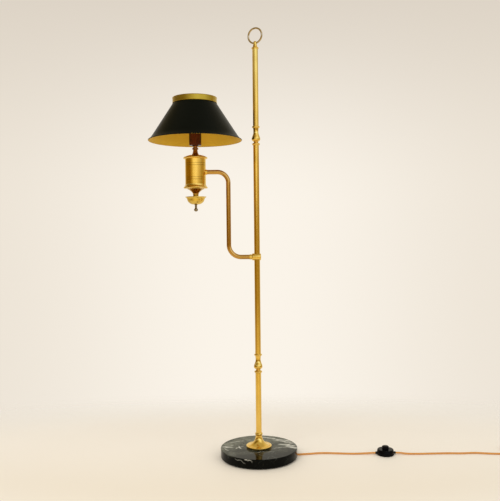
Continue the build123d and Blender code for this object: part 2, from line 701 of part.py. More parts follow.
def drip_bowl():
    rim = BOWL_D / 2
    floor_r = BOWL_FLOOR_D / 2
    way = ROD_ID / 2 + FIT
    w = BOWL_WALL
    return turned(
        Line((way, BOWL_Z), (floor_r, BOWL_Z)),
        Spline((floor_r, BOWL_Z), (0.59 * rim, BOWL_Z + 0.18 * BOWL_H), (0.75 * rim, BOWL_Z + 0.42 * BOWL_H),
               (0.825 * rim, BOWL_Z + 0.7 * BOWL_H), (rim, BOWL_RIM_Z - 1.2), tangents=((1, 0.15), (1, 0.5))),
        Line((rim, BOWL_RIM_Z - 1.2), (rim - 0.4, BOWL_RIM_Z)),
        Line((rim - 0.4, BOWL_RIM_Z), (rim - 2.2, BOWL_RIM_Z)),
        Spline((rim - 2.2, BOWL_RIM_Z), (0.825 * rim - w, BOWL_Z + 0.72 * BOWL_H),
               (0.75 * rim - w, BOWL_Z + 0.45 * BOWL_H), (0.59 * rim - 0.7 * w, BOWL_Z + 0.18 * BOWL_H + w),
               (floor_r - 1, BOWL_FLOOR), tangents=((-1, -0.5), (-1, -0.15))),
        Line((floor_r - 1, BOWL_FLOOR), (way, BOWL_FLOOR)),
        Line((way, BOWL_FLOOR), (way, BOWL_Z)),
        x=HEAD_X,
    )


def finial_knob():
    shoulder_z = BOWL_Z - FINIAL_SHOULDER_H
    knob_top = shoulder_z - FINIAL_ROD_L
    knob = Pos(HEAD_X, 0, knob_top + 0.6 - FINIAL_KNOB_H / 2) * scale(
        Sphere(FINIAL_KNOB_D / 2), by=(1, 1, FINIAL_KNOB_H / FINIAL_KNOB_D)
    )
    stud = disc(ROD_ID / 2 - FIT, BOWL_Z, BOWL_Z + FINIAL_THREAD_L, HEAD_X)
    shoulder = disc(FINIAL_SHOULDER_D / 2, shoulder_z, BOWL_Z, HEAD_X)
    return stud + shoulder + disc(FINIAL_ROD_D / 2, knob_top - 1, shoulder_z, HEAD_X) + knob


# ---- lampholder ----
def holder_neck():
    """Turned neck with one bead, between the font's lid and the lampholder."""
    foot, waist, bead_r = NECK_FOOT_D / 2, NECK_WAIST_D / 2, NECK_BEAD_D / 2
    way = ROD_R + FIT
    bead_z = LID_TOP + 0.59 * NECK_H
    bead_top = bead_z + 7.0
    return turned(
        Line((way, LID_TOP), (foot, LID_TOP)),
        Spline((foot, LID_TOP), (foot - 2.8, LID_TOP + 0.13 * NECK_H), (waist + 0.8, LID_TOP + 0.38 * NECK_H),
               (waist, bead_z), tangents=((-0.5, 1), (0, 1))),
        bead(bead_z, bead_top, bead_r, waist),
        Line((waist, bead_top), (waist, HOLDER_Z)),
        Line((waist, HOLDER_Z), (way, HOLDER_Z)),
        Line((way, HOLDER_Z), (way, LID_TOP)),
        x=HEAD_X,
    )


def holder_cap():
    way = ROD_R + FIT
    r, inner = HOLDER_R, HOLDER_R - HOLDER_WALL
    ledge = INSERT_D / 2 - 2.5
    k = HOLDER_ROUND
    z = CAP_FLOOR_Z
    return turned(
        Line((way, HOLDER_Z), (HOLDER_COLLAR_D / 2, HOLDER_Z)),
        Line((HOLDER_COLLAR_D / 2, HOLDER_Z), (HOLDER_COLLAR_D / 2, z)),
        Line((HOLDER_COLLAR_D / 2, z), (r - k, z)),
        RadiusArc((r - k, z), (r, z + k), -k),
        Line((r, z + k), (r, SKIRT_Z)),
        Line((r, SKIRT_Z), (inner, SKIRT_Z)),
        Line((inner, SKIRT_Z), (inner, INSERT_Z)),
        Line((inner, INSERT_Z), (ledge, INSERT_Z)),
        Line((ledge, INSERT_Z), (ledge, z + HOLDER_WALL)),
        Line((ledge, z + HOLDER_WALL), (way, z + HOLDER_WALL)),
        Line((way, z + HOLDER_WALL), (way, HOLDER_Z)),
        x=HEAD_X,
    )


def holder_skirt():
    """Outer sleeve, with the flange that the shade's carrier seats on and a coarse thread above it."""
    inner = HOLDER_R - HOLDER_WALL
    skirt = pipe(HOLDER_R, inner, SKIRT_Z, SKIRT_Z + SKIRT_H, HEAD_X)
    return skirt + pipe(SKIRT_FLANGE_D / 2, inner, SPIDER_Z - SKIRT_FLANGE_T, SPIDER_Z, HEAD_X)


def holder_insert():
    """Porcelain insert, with two wire holes and a central contact well."""
    body = disc(INSERT_D / 2, INSERT_Z, INSERT_Z + INSERT_H, HEAD_X)
    for side in (-1, 1):
        body -= disc(2.2, INSERT_Z - 1, SHELL_Z + 1, HEAD_X, side * 0.32 * INSERT_D)
    return body - disc(CORD_R + 1.5, INSERT_Z - 1, INSERT_Z + 0.3 * INSERT_H, HEAD_X)


def holder_contacts():
    """Screw shell, and the sprung centre contact at its bottom."""
    outer = SHELL_D / 2
    shell = pipe(outer, outer - SHELL_WALL, SHELL_Z, SHELL_Z + SHELL_H, HEAD_X)
    shell += pipe(outer, 0.6 * outer, SHELL_Z, SHELL_Z + SHELL_WALL, HEAD_X)
    centre = disc(0.3 * outer, SHELL_Z, BULB_TIP_Z - FIT, HEAD_X)
    return [shell, centre]


def shade_ring():
    """Ring nut that holds the shade's carrier down, with a milled edge."""
    r = SHADE_RING_D / 2
    ring = pipe(r, HOLDER_R + FIT, SHADE_RING_Z, SHADE_RING_Z + SHADE_RING_H, HEAD_X)
    for step in range(SHADE_RING_NOTCHES):
        turn = Pos(HEAD_X, 0, 0) * Rot(0, 0, 360 * step / SHADE_RING_NOTCHES)
        ring -= turn * disc(NOTCH_R, SHADE_RING_Z - 1, SHADE_RING_Z + SHADE_RING_H + 1, r + 0.3)
    return ring


# ---- bulb ----
def bulb_cap():
    """Screw cap: a threaded sleeve with a contact tip."""
    r = BULB_CAP_D / 2
    pitch, ridges = 3.6, 6
    edges = [Line((0, BULB_CAP_Z), (r - 4, BULB_CAP_Z)), Line((r - 4, BULB_CAP_Z), (r - 1.2, BULB_CAP_Z + 3))]
    z = BULB_CAP_Z + 3
    for _ in range(ridges):
        edges.append(ThreePointArc((r - 1.2, z), (r, z + pitch / 2), (r - 1.2, z + pitch)))
        z += pitch
    edges += [Line((r - 1.2, z), (r - 1.2, BULB_Z)), Line((r - 1.2, BULB_Z), (0, BULB_Z)),
              Line((0, BULB_Z), (0, BULB_CAP_Z))]
    return turned(*edges, x=HEAD_X) + disc(0.3 * r, BULB_TIP_Z, BULB_CAP_Z, HEAD_X)


def bulb_profile(shrink):
    """Outline of the glass, drawn in by the given wall."""
    r, neck = BULB_D / 2 - shrink, BULB_NECK_D / 2 - shrink
    root = BULB_CAP_D / 2 - 1.2 - shrink
    z0, top = BULB_Z + shrink, BULB_Z + BULB_L - shrink
    equator = BULB_Z + BULB_L - BULB_D / 2
    shoulder = Spline((root, z0), (neck, z0 + 0.14 * BULB_L), (0.84 * r, equator - 0.6 * r), (r, equator),
                      tangents=((0, 1), (0, 1)))
    crown = RadiusArc((r, equator), (0, top), -r)
    return [Line((0, z0), (root, z0)), shoulder, crown, Line((0, top), (0, z0))]


def bulb_glass():
    return turned(*bulb_profile(0), x=HEAD_X) - turned(*bulb_profile(GLASS_T), x=HEAD_X)


# ---- shade ----
def shade_levels():
    """Heights of the cone's top and of the rim; the carrier's hoop bears on the cone inside."""
    hoop_r = SPIDER_HOOP_D / 2 + (SPIDER_WIRE_D / 2 + SEAT) * SHADE_HALF + SHADE_T * SHADE_HALF
    top = SPIDER_Z + SPIDER_T / 2 + (hoop_r - SHADE_TOP_D / 2) / SHADE_SLOPE
    return top, top - SHADE_CONE_H - SHADE_FLARE_H


SHADE_TOP_Z, SHADE_RIM_Z = shade_levels()


def shade_cone():
    top_r, flare_r = SHADE_TOP_D / 2, SHADE_FLARE_D / 2
    rim_r = SHADE_RIM_D / 2 - RIM_BEAD_D / 2
    flare_z = SHADE_TOP_Z - SHADE_CONE_H
    rim_z = SHADE_RIM_Z + RIM_BEAD_D / 2
    t = SHADE_T
    across = t * SHADE_HALF
    collar_r = top_r - BAND_T / 2
    collar_z = SHADE_TOP_Z + SHADE_COLLAR_H
    bend_r, bend_z = flare_r + 0.43 * (rim_r - flare_r), (flare_z + rim_z) / 2
    outer_flare = ThreePointArc((flare_r, flare_z), (bend_r, bend_z), (rim_r, rim_z))
    inner_flare = ThreePointArc(
        (rim_r - across, rim_z), (bend_r - across, bend_z), (flare_r - across, flare_z)
    )
    shell = turned(
        Line((collar_r, collar_z), (collar_r, SHADE_TOP_Z)),
        Line((collar_r, SHADE_TOP_Z), (flare_r, flare_z)),
        outer_flare,
        Line((rim_r, rim_z), (rim_r - across, rim_z)),
        inner_flare,
        Line((flare_r - across, flare_z), (collar_r - across, SHADE_TOP_Z)),
        Line((collar_r - across, SHADE_TOP_Z), (collar_r - across, collar_z)),
        Line((collar_r - across, collar_z), (collar_r, collar_z)),
        x=HEAD_X,
    )
    return shell + Pos(HEAD_X, 0, rim_z) * Torus(rim_r, RIM_BEAD_D / 2)


def shade_band():
    """Brass band round the top of the shade, with a bead at each edge."""
    inner = SHADE_TOP_D / 2 - BAND_T / 2 + FIT
    outer = inner + BAND_T
    b = BAND_BEAD_D / 2
    band = pipe(outer, inner, SHADE_TOP_Z, SHADE_TOP_Z + BAND_H, HEAD_X)
    for z in (SHADE_TOP_Z + b, SHADE_TOP_Z + BAND_H - b):
        band += Pos(HEAD_X, 0, z) * Torus(outer - 0.2, b)
    return band


def shade_spider():
    """Carrier: inner ring under the ring nut, wire arms, and the hoop that bears on the shade."""
    nut_r, hoop_r, wire = SHADE_RING_D / 2, SPIDER_HOOP_D / 2, SPIDER_WIRE_D / 2
    start = nut_r + SEAT
    spoke = Pos(start, 0, 0) * Rot(0, 90, 0) * Cylinder(
        wire, hoop_r - start, align=(Align.CENTER, Align.CENTER, Align.MIN)
    )
    frame = Torus(hoop_r, wire)
    for step in range(SPIDER_ARMS):
        frame += Rot(0, 0, 90 + 360 * step / SPIDER_ARMS) * spoke
    inner = pipe(nut_r + SPIDER_RING_W, HOLDER_R + 2 * FIT, SPIDER_Z, SHADE_RING_Z, HEAD_X)
    return inner + Pos(HEAD_X, 0, (SPIDER_Z + SHADE_RING_Z) / 2) * frame


# ---- flex that the lamp holds inside ----
def pole_flex():
    """From the base's groove, up through the nipple and the pole, to the swivel."""
    top = ARM_Z - CORD_R - 0.5
    path = FilletPolyline((FLEX_END_R, 0, FLEX_Z), (0, 0, FLEX_Z), (0, 0, top), radius=FLEX_BEND_R)
    return Rot(0, 0, CORD_HEADING) * along(path, CORD_R)


def arm_flex():
    """From the swivel, along the arm, into the font and up the lamp rod to the lampholder."""
    points = [
        (0, 0, ARM_Z), (-ARM_OUT, 0, ARM_Z), (-ARM_OUT, 0, FONT_MID), (HEAD_X, 0, FONT_MID),
        (HEAD_X, 0, INSERT_Z),
    ]
    path = FilletPolyline(*points, radius=[ARM_LOW_BEND, ARM_TOP_BEND, FLEX_BEND_R])
    return along(path, CORD_R)


# ---- foot switch, built about its own axis ----
def at_switch(solid):
    return Pos(SWITCH_X, SWITCH_Y, 0) * solid


def switch_pads():
    spots = [Rot(0, 0, 60 + 120 * step) * Pos(0.72 * SWITCH_D / 2, 0, 0) for step in range(3)]
    return [at_switch(spot * disc(4.5, 0, SWITCH_FOOT)) for spot in spots]


def boss_places():
    return [(0, -BOSS_R), (0, BOSS_R)]


def inlet(radius, x0, x1):
    """Cylinder along the flex's axis, from x0 to x1 on the +X side."""
    return Pos(x0, 0, SWITCH_INLET_Z) * Rot(0, 90, 0) * Cylinder(
        radius, x1 - x0, align=(Align.CENTER, Align.CENTER, Align.MIN)
    )


def inlets():
    """Space for the two sleeves in the switch's wall and floor."""
    start = SWITCH_D / 2 - SWITCH_WALL - SLEEVE_SEAT - FIT
    hole = inlet(SWITCH_INLET_R + FIT, start, SWITCH_D)
    return hole + Rot(0, 0, 180) * hole


def switch_floor():
    plate = disc(SWITCH_D / 2 - SWITCH_WALL - FIT, SWITCH_FOOT, SWITCH_FLOOR_Z)
    plate += disc(SPRING_POST_R, SWITCH_FLOOR_Z, SWITCH_FLOOR_Z + SPRING_POST_H)
    for x, y in boss_places():
        plate -= disc(SWITCH_HEAD_D / 2 + FIT, 0, SWITCH_FOOT + SWITCH_HEAD_T + FIT, x, y)
        plate -= disc(SWITCH_SCREW_D / 2 + FIT, 0, SWITCH_FLOOR_Z + 1, x, y)
    return at_switch(plate - inlets())


def switch_cover():
    r, w = SWITCH_D / 2, SWITCH_WALL
    shoulder = SWITCH_SHOULDER_D / 2
    opening = BUTTON_D / 2 + BUTTON_GAP
    top, waist = SWITCH_H, 0.42 * SWITCH_H
    cover = turned(
        Line((r - 0.8, SWITCH_FOOT), (r, SWITCH_FOOT + 1)),
        Line((r, SWITCH_FOOT + 1), (r, waist)),
        Spline((r, waist), (r - SWITCH_FULLNESS, 0.8 * top), (shoulder, top), tangents=((0, 1), (-1, 0))),
        Line((shoulder, top), (opening, top)),
        Line((opening, top), (opening, top - w)),
        Line((opening, top - w), (shoulder - w / 2, top - w)),
        Spline((shoulder - w / 2, top - w), (r - SWITCH_FULLNESS - w, 0.8 * top - w / 2), (r - w, waist),
               tangents=((1, 0), (0, -1))),
        Line((r - w, waist), (r - w, SWITCH_FOOT)),
        Line((r - w, SWITCH_FOOT), (r - 0.8, SWITCH_FOOT)),
    )
    for x, y in boss_places():
        cover += disc(BOSS_D / 2, SWITCH_FLOOR_Z + FIT, top - w + 0.5, x, y)
        cover -= disc(SWITCH_SCREW_D / 2 + FIT / 2, 0, 0.75 * top, x, y)
    return at_switch(cover - inlets())


def switch_button():
    """Round foot button with a retaining flange under the cover."""
    r = BUTTON_D / 2
    top = SWITCH_H + BUTTON_RISE
    flange_top = SWITCH_H - SWITCH_WALL - BUTTON_GAP
    flange_z = flange_top - BUTTON_FLANGE_T
    roof = top - BUTTON_WALL - BUTTON_CROWN
    inner = r - BUTTON_WALL
    stem, stem_z = SPRING_POST_R, roof - BUTTON_POST_H
    return at_switch(turned(
        Line((inner, flange_z), (BUTTON_FLANGE_D / 2, flange_z)),
        Line((BUTTON_FLANGE_D / 2, flange_z), (BUTTON_FLANGE_D / 2, flange_top)),
        Line((BUTTON_FLANGE_D / 2, flange_top), (r, flange_top)),
        Line((r, flange_top), (r, top - 3.4)),
        Spline((r, top - 3.4), (r - 2.2, top - 0.9), (0, top), tangents=((0, 1), (-1, 0))),
        Line((0, top), (0, stem_z)),
        Line((0, stem_z), (stem, stem_z)),
        Line((stem, stem_z), (stem, roof)),
        Line((stem, roof), (inner, roof)),
        Line((inner, roof), (inner, flange_z)),
    ))


def switch_spring():
    end = SPRING_WIRE / 2 + SPRING_SEAT
    low = SWITCH_FLOOR_Z + end
    high = SWITCH_H + BUTTON_RISE - BUTTON_WALL - BUTTON_CROWN - end
    coil = Helix(SPRING_PITCH, high - low, SPRING_D / 2 - SPRING_WIRE / 2)
    return at_switch(Pos(0, 0, low) * along(coil, SPRING_WIRE / 2))


def switch_blocks():
    """Two terminal blocks on the switch's floor, one for each flex."""
    length, width, height = BLOCK_SIZE
    block = Box(length, width, height, align=(Align.CENTER, Align.CENTER, Align.MIN))
    block = Pos(0, 0, SWITCH_FLOOR_Z) * block
    return [at_switch(Pos(side * BLOCK_X, 0, 0) * block) for side in (-1, 1)]


def switch_terminals():
    z = SWITCH_FLOOR_Z + BLOCK_SIZE[2]
    places = [(sx * BLOCK_X, sy * 0.27 * BLOCK_SIZE[1]) for sx in (-1, 1) for sy in (-1, 1)]
    return [at_switch(disc(TERMINAL_D / 2, z, z + TERMINAL_H, x, y)) for x, y in places]


def switch_screws():
    screws = []
    for x, y in boss_places():
        head = disc(SWITCH_HEAD_D / 2, SWITCH_FOOT + 2 * FIT, SWITCH_FOOT + SWITCH_HEAD_T, x, y)
        slot = Pos(x, y, SWITCH_FOOT + 2 * FIT) * Box(SWITCH_HEAD_D + 1, 0.8, 1.2)
        shank = disc(SWITCH_SCREW_D / 2, SWITCH_FOOT + SWITCH_HEAD_T, 0.7 * SWITCH_H, x, y)
        screws.append(at_switch(head - slot + shank))
    return screws


def switch_sleeves():
    """Rubber sleeves that carry the flex through the switch's sides."""
    root = SWITCH_D / 2 - SWITCH_WALL - SLEEVE_SEAT
    tip = SWITCH_D / 2 + SLEEVE_OUT
    r0, r1 = SWITCH_INLET_R, CORD_R + SLEEVE_TIP_WALL
    bore = CORD_R + FIT
    sleeve = Rot(0, 90, 0) * turned(*outline(
        (bore, root), (r0, root), (r0, SWITCH_D / 2 + 1), (r1, tip), (bore, tip)
    ))
    sleeve = Pos(0, 0, SWITCH_INLET_Z) * sleeve
    return [at_switch(Rot(0, 0, side) * sleeve) for side in (0, 180)]


# ---- free flex: routes on the floor, chosen by hand ----
def polar(radius, heading):
    return (radius * cos(radians(heading)), radius * sin(radians(heading)))


BLOCK_FACE = BLOCK_X + BLOCK_SIZE[0] / 2 + FIT
FLOOR = CORD_R
BASE_RUN = [
    (*polar(FLEX_END_R, CORD_HEADING), FLOOR),
    (*polar(FLEX_END_R + 36, CORD_HEADING), FLOOR),
    (228, 27.0, FLOOR),
    (284, 20.6, FLOOR),
    (338, 13.6, FLOOR),
    (384, 16.0, FLOOR),
    (411, SWITCH_Y, SWITCH_INLET_Z),
    (SWITCH_X - BLOCK_FACE, SWITCH_Y, SWITCH_INLET_Z),
]
SWITCH_RUN = [
    (SWITCH_X + BLOCK_FACE, SWITCH_Y, SWITCH_INLET_Z),
    (509.5, SWITCH_Y, SWITCH_INLET_Z),
    (537, 7.2, FLOOR),
    (586, 5.8, FLOOR),
    (640, 8.0, FLOOR),
    (694, 9.4, FLOOR),
    (736, 5.2, FLOOR),
    (786, 11.6, FLOOR),
    (838, -0.2, FLOOR),
    (880, TAIL_Y, FLOOR),
    (COIL_X - COIL_LEAD, TAIL_Y, FLOOR),
]


def cord_base_run():
    return route(BASE_RUN, CORD_D, "cord_base_run")


def cord_switch_run():
    return route(SWITCH_RUN, CORD_D, "cord_switch_run")


def cord_coil():
    """Outer shape of the coiled spare flex, with the short straights that lead in and out to the plug."""
    coil = pipe(COIL_OUT_R, COIL_OUT_R - COIL_BAND, 0, COIL_H)
    coil = fillet(coil.edges().filter_by(GeomType.CIRCLE), CORD_R * 0.8)
    lead = Rot(0, -90, 0) * Cylinder(CORD_R, COIL_LEAD, align=(Align.CENTER, Align.CENTER, Align.MIN))
    tail = Rot(0, 90, 0) * Cylinder(CORD_R, PLUG_X - COIL_X, align=(Align.CENTER, Align.CENTER, Align.MIN))
    ends = Pos(0, 0, FLOOR) * lead + Pos(0, 0, TAIL_Z) * tail
    return Pos(COIL_X, COIL_Y, 0) * coil + Pos(COIL_X, TAIL_Y, 0) * ends


# ---- plug, lying on its back with the pins up ----
def plug_body():
    half, end = PLUG_W / 2, PLUG_END_W / 2
    shape = make_face(Wire(outline(
        (0, -end), (0.32 * PLUG_L, -half), (0.9 * PLUG_L, -half), (PLUG_L, -0.84 * half),
        (PLUG_L, 0.84 * half), (0.9 * PLUG_L, half), (0.32 * PLUG_L, half), (0, end),
    )))
    body = extrude(shape, PLUG_T)
    body = fillet(body.edges().filter_by(Axis.Z), 4)
    body = fillet(body.edges().group_by(Axis.Z)[0], 2.5)
    body = fillet(body.edges().group_by(Axis.Z)[-1], 1)
    pins = [Pos(PIN_ROW_X, side * PIN_PITCH / 2, PLUG_T) for side in (-1, 1)]
    for place in pins:
        body -= place * Box(LIVE_PIN[0] + 2 * FIT, LIVE_PIN[1] + 2 * FIT, 2 * PIN_SEAT)
    return Pos(PLUG_X, TAIL_Y, 0) * (body - Pos(PIN_ROW_X + PIN_PITCH, 0, PLUG_T) * Box(
        EARTH_PIN[0] + 2 * FIT, EARTH_PIN[1] + 2 * FIT, 2 * PIN_SEAT))


def plug_pins():
    def pin(size, x, y):
        blade = Box(size[0], size[1], size[2] + PIN_SEAT, align=(Align.CENTER, Align.CENTER, Align.MIN))
        blade = chamfer(blade.edges().group_by(Axis.Z)[-1], 0.8)
        return Pos(PLUG_X + x, TAIL_Y + y, PLUG_T - PIN_SEAT) * blade

    return [
        pin(LIVE_PIN, PIN_ROW_X, -PIN_PITCH / 2),
        pin(LIVE_PIN, PIN_ROW_X, PIN_PITCH / 2),
        pin(EARTH_PIN, PIN_ROW_X + PIN_PITCH, 0),
    ]


def plug_relief():
    """Tapered and grooved strain relief round the flex at the plug."""
    bore, tip, root = CORD_R + FIT, RELIEF_END_D / 2, RELIEF_ROOT_D / 2
    relief = turned(*outline((bore, -RELIEF_L), (tip, -RELIEF_L), (root, 0), (bore, 0)))
    for step in range(4):
        z = -RELIEF_L + 4.5 + RELIEF_PITCH * step
        surface = tip + (root - tip) * (z + RELIEF_L) / RELIEF_L
        relief -= pipe(root + 2, surface - RELIEF_GROOVE, z - RELIEF_GROOVE, z + RELIEF_GROOVE)
    return Pos(PLUG_X, TAIL_Y, TAIL_Z) * Rot(0, 90, 0) * relief


PIECES = {
    "base_slab": base_slab,
    "base_pad": base_pad,
    "cord_clip": cord_clip,
    "base_washer": base_washer,
    "base_nut": base_nut,
    "base_nipple": base_nipple,
    "base_flange": base_flange,
    "flange_collar": flange_collar,
    "lower_tube": lambda: pole_tube(COLLAR_TOP, LOWER_TUBE_L),
    "lower_knop": lambda: knop(LOWER_KNOP_Z),
    "lower_mid_tube": lambda: pole_tube(LOWER_MID_Z, LOWER_MID_L),
    "swivel_spigot": swivel_spigot,
    "swivel_socket": swivel_socket,
    "swivel_washers": swivel_washers,
    "upper_mid_tube": lambda: pole_tube(UPPER_MID_Z, UPPER_MID_L),
    "upper_knop": lambda: knop(UPPER_KNOP_Z),
    "upper_tube": lambda: pole_tube(UPPER_TUBE_Z, UPPER_TUBE_L),
    "top_cap": top_cap,
    "ring_handle": ring_handle,
    "pole_flex": pole_flex,
    "swivel_knuckle": swivel_knuckle,
    "stop_screw": stop_screw,
    "arm_tube": arm_tube,
    "arm_ferrules": arm_ferrules,
    "arm_nut": arm_nut,
    "arm_flex": arm_flex,
    "font_body": font_body,
    "font_lid": font_lid,
    "font_foot": font_foot,
    "font_stem": font_stem,
    "lamp_rod": lamp_rod,
    "drip_bowl": drip_bowl,
    "finial_knob": finial_knob,
    "holder_neck": holder_neck,
    "holder_cap": holder_cap,
    "holder_skirt": holder_skirt,
    "holder_insert": holder_insert,
    "holder_contacts": holder_contacts,
    "bulb_cap": bulb_cap,
    "bulb_glass": bulb_glass,
    "shade_spider": shade_spider,
    "shade_ring": shade_ring,
    "shade_cone": shade_cone,
    "shade_band": shade_band,
    "switch_pads": switch_pads,
    "switch_floor": switch_floor,
    "switch_cover": switch_cover,
    "switch_button": switch_button,
    "switch_spring": switch_spring,
    "switch_blocks": switch_blocks,
    "switch_terminals": switch_terminals,
    "switch_screws": switch_screws,
    "switch_sleeves": switch_sleeves,
    "cord_base_run": cord_base_run,
    "cord_switch_run": cord_switch_run,
    "cord_coil": cord_coil,
    "plug_body": plug_body,
    "plug_pins": plug_pins,
    "plug_relief": plug_relief,
}

os.makedirs("parts", exist_ok=True)
for name, make in PIECES.items():
    shape = make()
    solids = shape if isinstance(shape, list) else [shape]
    export_step(Compound(children=[s for piece in solids for s in piece.solids()]), f"parts/{name}.step")
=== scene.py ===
from math import cos, pi, radians, sin, tau

import bpy
from mathutils import Matrix, Vector


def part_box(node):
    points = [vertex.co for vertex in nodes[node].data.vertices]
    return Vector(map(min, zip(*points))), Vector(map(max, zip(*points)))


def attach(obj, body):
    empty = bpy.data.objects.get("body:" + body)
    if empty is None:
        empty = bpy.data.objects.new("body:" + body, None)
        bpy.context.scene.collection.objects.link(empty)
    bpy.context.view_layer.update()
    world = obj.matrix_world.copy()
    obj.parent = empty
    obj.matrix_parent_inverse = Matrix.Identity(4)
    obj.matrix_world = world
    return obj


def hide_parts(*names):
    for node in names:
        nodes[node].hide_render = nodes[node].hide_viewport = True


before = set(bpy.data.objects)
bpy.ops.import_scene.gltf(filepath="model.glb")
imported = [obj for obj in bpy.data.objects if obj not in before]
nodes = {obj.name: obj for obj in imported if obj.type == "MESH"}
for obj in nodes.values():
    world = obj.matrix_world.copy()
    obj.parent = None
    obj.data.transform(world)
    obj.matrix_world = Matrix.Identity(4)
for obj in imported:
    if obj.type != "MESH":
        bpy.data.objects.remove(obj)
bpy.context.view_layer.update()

# ---- lead: the same routes as the solids, in metres ----
CORD_D = 0.0065
CORD_R = CORD_D / 2
FLOOR = CORD_R
SWITCH_LEVEL = 0.00705
BASE_ROUTE = [
    (0.13349, 0.01168, FLOOR), (0.16935, 0.01482, FLOOR), (0.228, 0.0270, FLOOR),
    (0.284, 0.0206, FLOOR), (0.338, 0.0136, FLOOR), (0.384, 0.0160, FLOOR),
    (0.411, 0.010, SWITCH_LEVEL), (0.4367, 0.010, SWITCH_LEVEL),
]
SWITCH_ROUTE = [
    (0.4833, 0.010, SWITCH_LEVEL), (0.5095, 0.010, SWITCH_LEVEL), (0.537, 0.0072, FLOOR),
    (0.586, 0.0058, FLOOR), (0.640, 0.0080, FLOOR), (0.694, 0.0094, FLOOR),
    (0.736, 0.0052, FLOOR), (0.786, 0.0116, FLOOR), (0.838, -0.0002, FLOOR),
    (0.880, -0.004, FLOOR), (0.920, -0.004, FLOOR),
]

# ---- coil of spare flex ----
COIL_CENTRE = (0.948, 0.038)
COIL_R = 0.042          # middle of the outer turn
COIL_TURNS = 3          # side by side, in each of two layers
POINTS_PER_TURN = 16
SHIFT_FROM = 0.5        # share of a turn after which it moves over to the next
CLIMB_BULGE = 0.0035
TIE_LIFT = 0.0006       # the coil lies on its tie
TAIL_BEFORE = (0.042, 0.030, 0.012, -0.006)     # the last points, ahead of the plug's near end
TAIL_ASIDE = 0.8 * CORD_D                       # the first of them, off the plug's axis
TIE_T, TIE_W = 0.0005, 0.0045
TIE_CORNER = 0.0024     # outer radius of its corners
CORNER_STEPS = 4
TIE_BELOW = 0.0001      # the tie's underside above the floor

# ---- braid ----
YARNS = 12              # each way round the flex
BRAID_PITCH = 0.021     # one turn of a yarn
BRAID_RELIEF = 0.00022
YARN_DIP = 0.45         # how far a yarn goes down towards its ends, as a share of its height
RING_POINTS = 24
RING_STEP = 0.0011
LINE_FINENESS = 24      # straight pieces between two points of a route

# ---- what gloss sees: colours round the room, by azimuth in turns ----
# 0.5 is towards the front, and less is to the left
FLOOR_RING = [
    (0.00, (0.90, 0.83, 0.68)), (0.18, (0.66, 0.56, 0.38)), (0.33, (0.52, 0.38, 0.16)),
    (0.41, (0.88, 0.70, 0.36)), (0.50, (1.00, 0.86, 0.50)), (0.59, (0.90, 0.74, 0.42)),
    (0.68, (0.60, 0.47, 0.22)), (0.82, (0.82, 0.72, 0.54)), (1.00, (0.90, 0.83, 0.68)),
]
ROOM_RING = [
    (0.00, (0.95, 0.88, 0.72)), (0.12, (0.72, 0.60, 0.38)), (0.20, (0.28, 0.18, 0.02)),
    (0.33, (0.26, 0.15, 0.0)), (0.45, (0.39, 0.25, 0.04)), (0.57, (0.39, 0.26, 0.05)),
    (0.68, (0.36, 0.26, 0.08)), (0.80, (0.50, 0.40, 0.22)), (0.90, (0.92, 0.84, 0.66)),
    (1.00, (0.95, 0.88, 0.72)),
]
WINDOW_RING = [
    (0.00, (0.95, 0.88, 0.72)), (0.10, (0.72, 0.60, 0.38)), (0.17, (0.28, 0.16, 0.01)),
    (0.34, (0.25, 0.12, 0.0)), (0.40, (0.60, 0.44, 0.12)), (0.45, (1.22, 1.12, 0.85)),
    (0.53, (1.26, 1.22, 1.12)), (0.61, (0.74, 0.62, 0.36)), (0.70, (0.38, 0.26, 0.04)),
    (0.80, (0.42, 0.32, 0.12)), (0.92, (0.92, 0.84, 0.66)), (1.00, (0.95, 0.88, 0.72)),
]
HIGH_RING = [
    (0.00, (0.95, 0.88, 0.72)), (0.10, (0.60, 0.48, 0.26)), (0.20, (0.18, 0.12, 0.01)),
    (0.37, (0.22, 0.15, 0.02)), (0.47, (0.62, 0.52, 0.26)), (0.56, (1.05, 1.02, 0.95)),
    (0.66, (1.15, 1.20, 1.35)), (0.75, (0.60, 0.55, 0.40)), (0.84, (0.66, 0.60, 0.44)),
    (0.93, (0.92, 0.84, 0.66)), (1.00, (0.95, 0.88, 0.72)),
]
LAMP_RING = [
    (0.00, (0.95, 0.88, 0.72)), (0.19, (0.69, 0.69, 0.85)), (0.333, (0.62, 0.60, 0.50)),
    (0.447, (0.95, 1.10, 1.40)), (0.53, (1.35, 1.75, 2.60)), (0.60, (1.20, 1.50, 2.10)),
    (0.70, (0.80, 0.95, 1.20)), (0.81, (0.54, 0.58, 0.70)), (1.00, (0.95, 0.88, 0.72)),
]
CEILING = (0.52, 0.46, 0.32)

# sines of the elevations over which one ring gives way to the next
ROOM_FROM, WINDOW_FROM, HIGH_FROM = (-0.165, -0.105), (0.030, 0.085), (0.115, 0.170)
LAMP_FROM, LAMP_TO = (0.215, 0.280), (0.33, 0.48)
CEILING_FROM = (0.66, 0.90)

# ---- what the eye sees, and the plain light ----
FILL_COLOUR, FILL_LEVEL = (1.0, 0.965, 0.91), 0.70
SOFTBOXES = [
    # name, place, aim, size, power, colour
    ("key", (-1.3, -2.6, 2.6), (0.0, 0.0, 0.7), (1.6, 1.6), 46.0, (1.0, 0.97, 0.92)),
    ("side", (1.9, -2.0, 1.8), (0.0, 0.0, 0.6), (1.4, 1.8), 12.0, (1.0, 0.98, 0.95)),
]
# the wall's painted shade: it is painted darker out to the sides and up
WALL_PALE, WALL_EDGE, WALL_TOP = (0.965, 0.905, 0.815), (0.845, 0.775, 0.675), (0.70, 0.63, 0.54)
WALL_SIDES, WALL_RISE = (0.02, 0.42), (0.04, 0.42)      # where the wall darkens, out and up

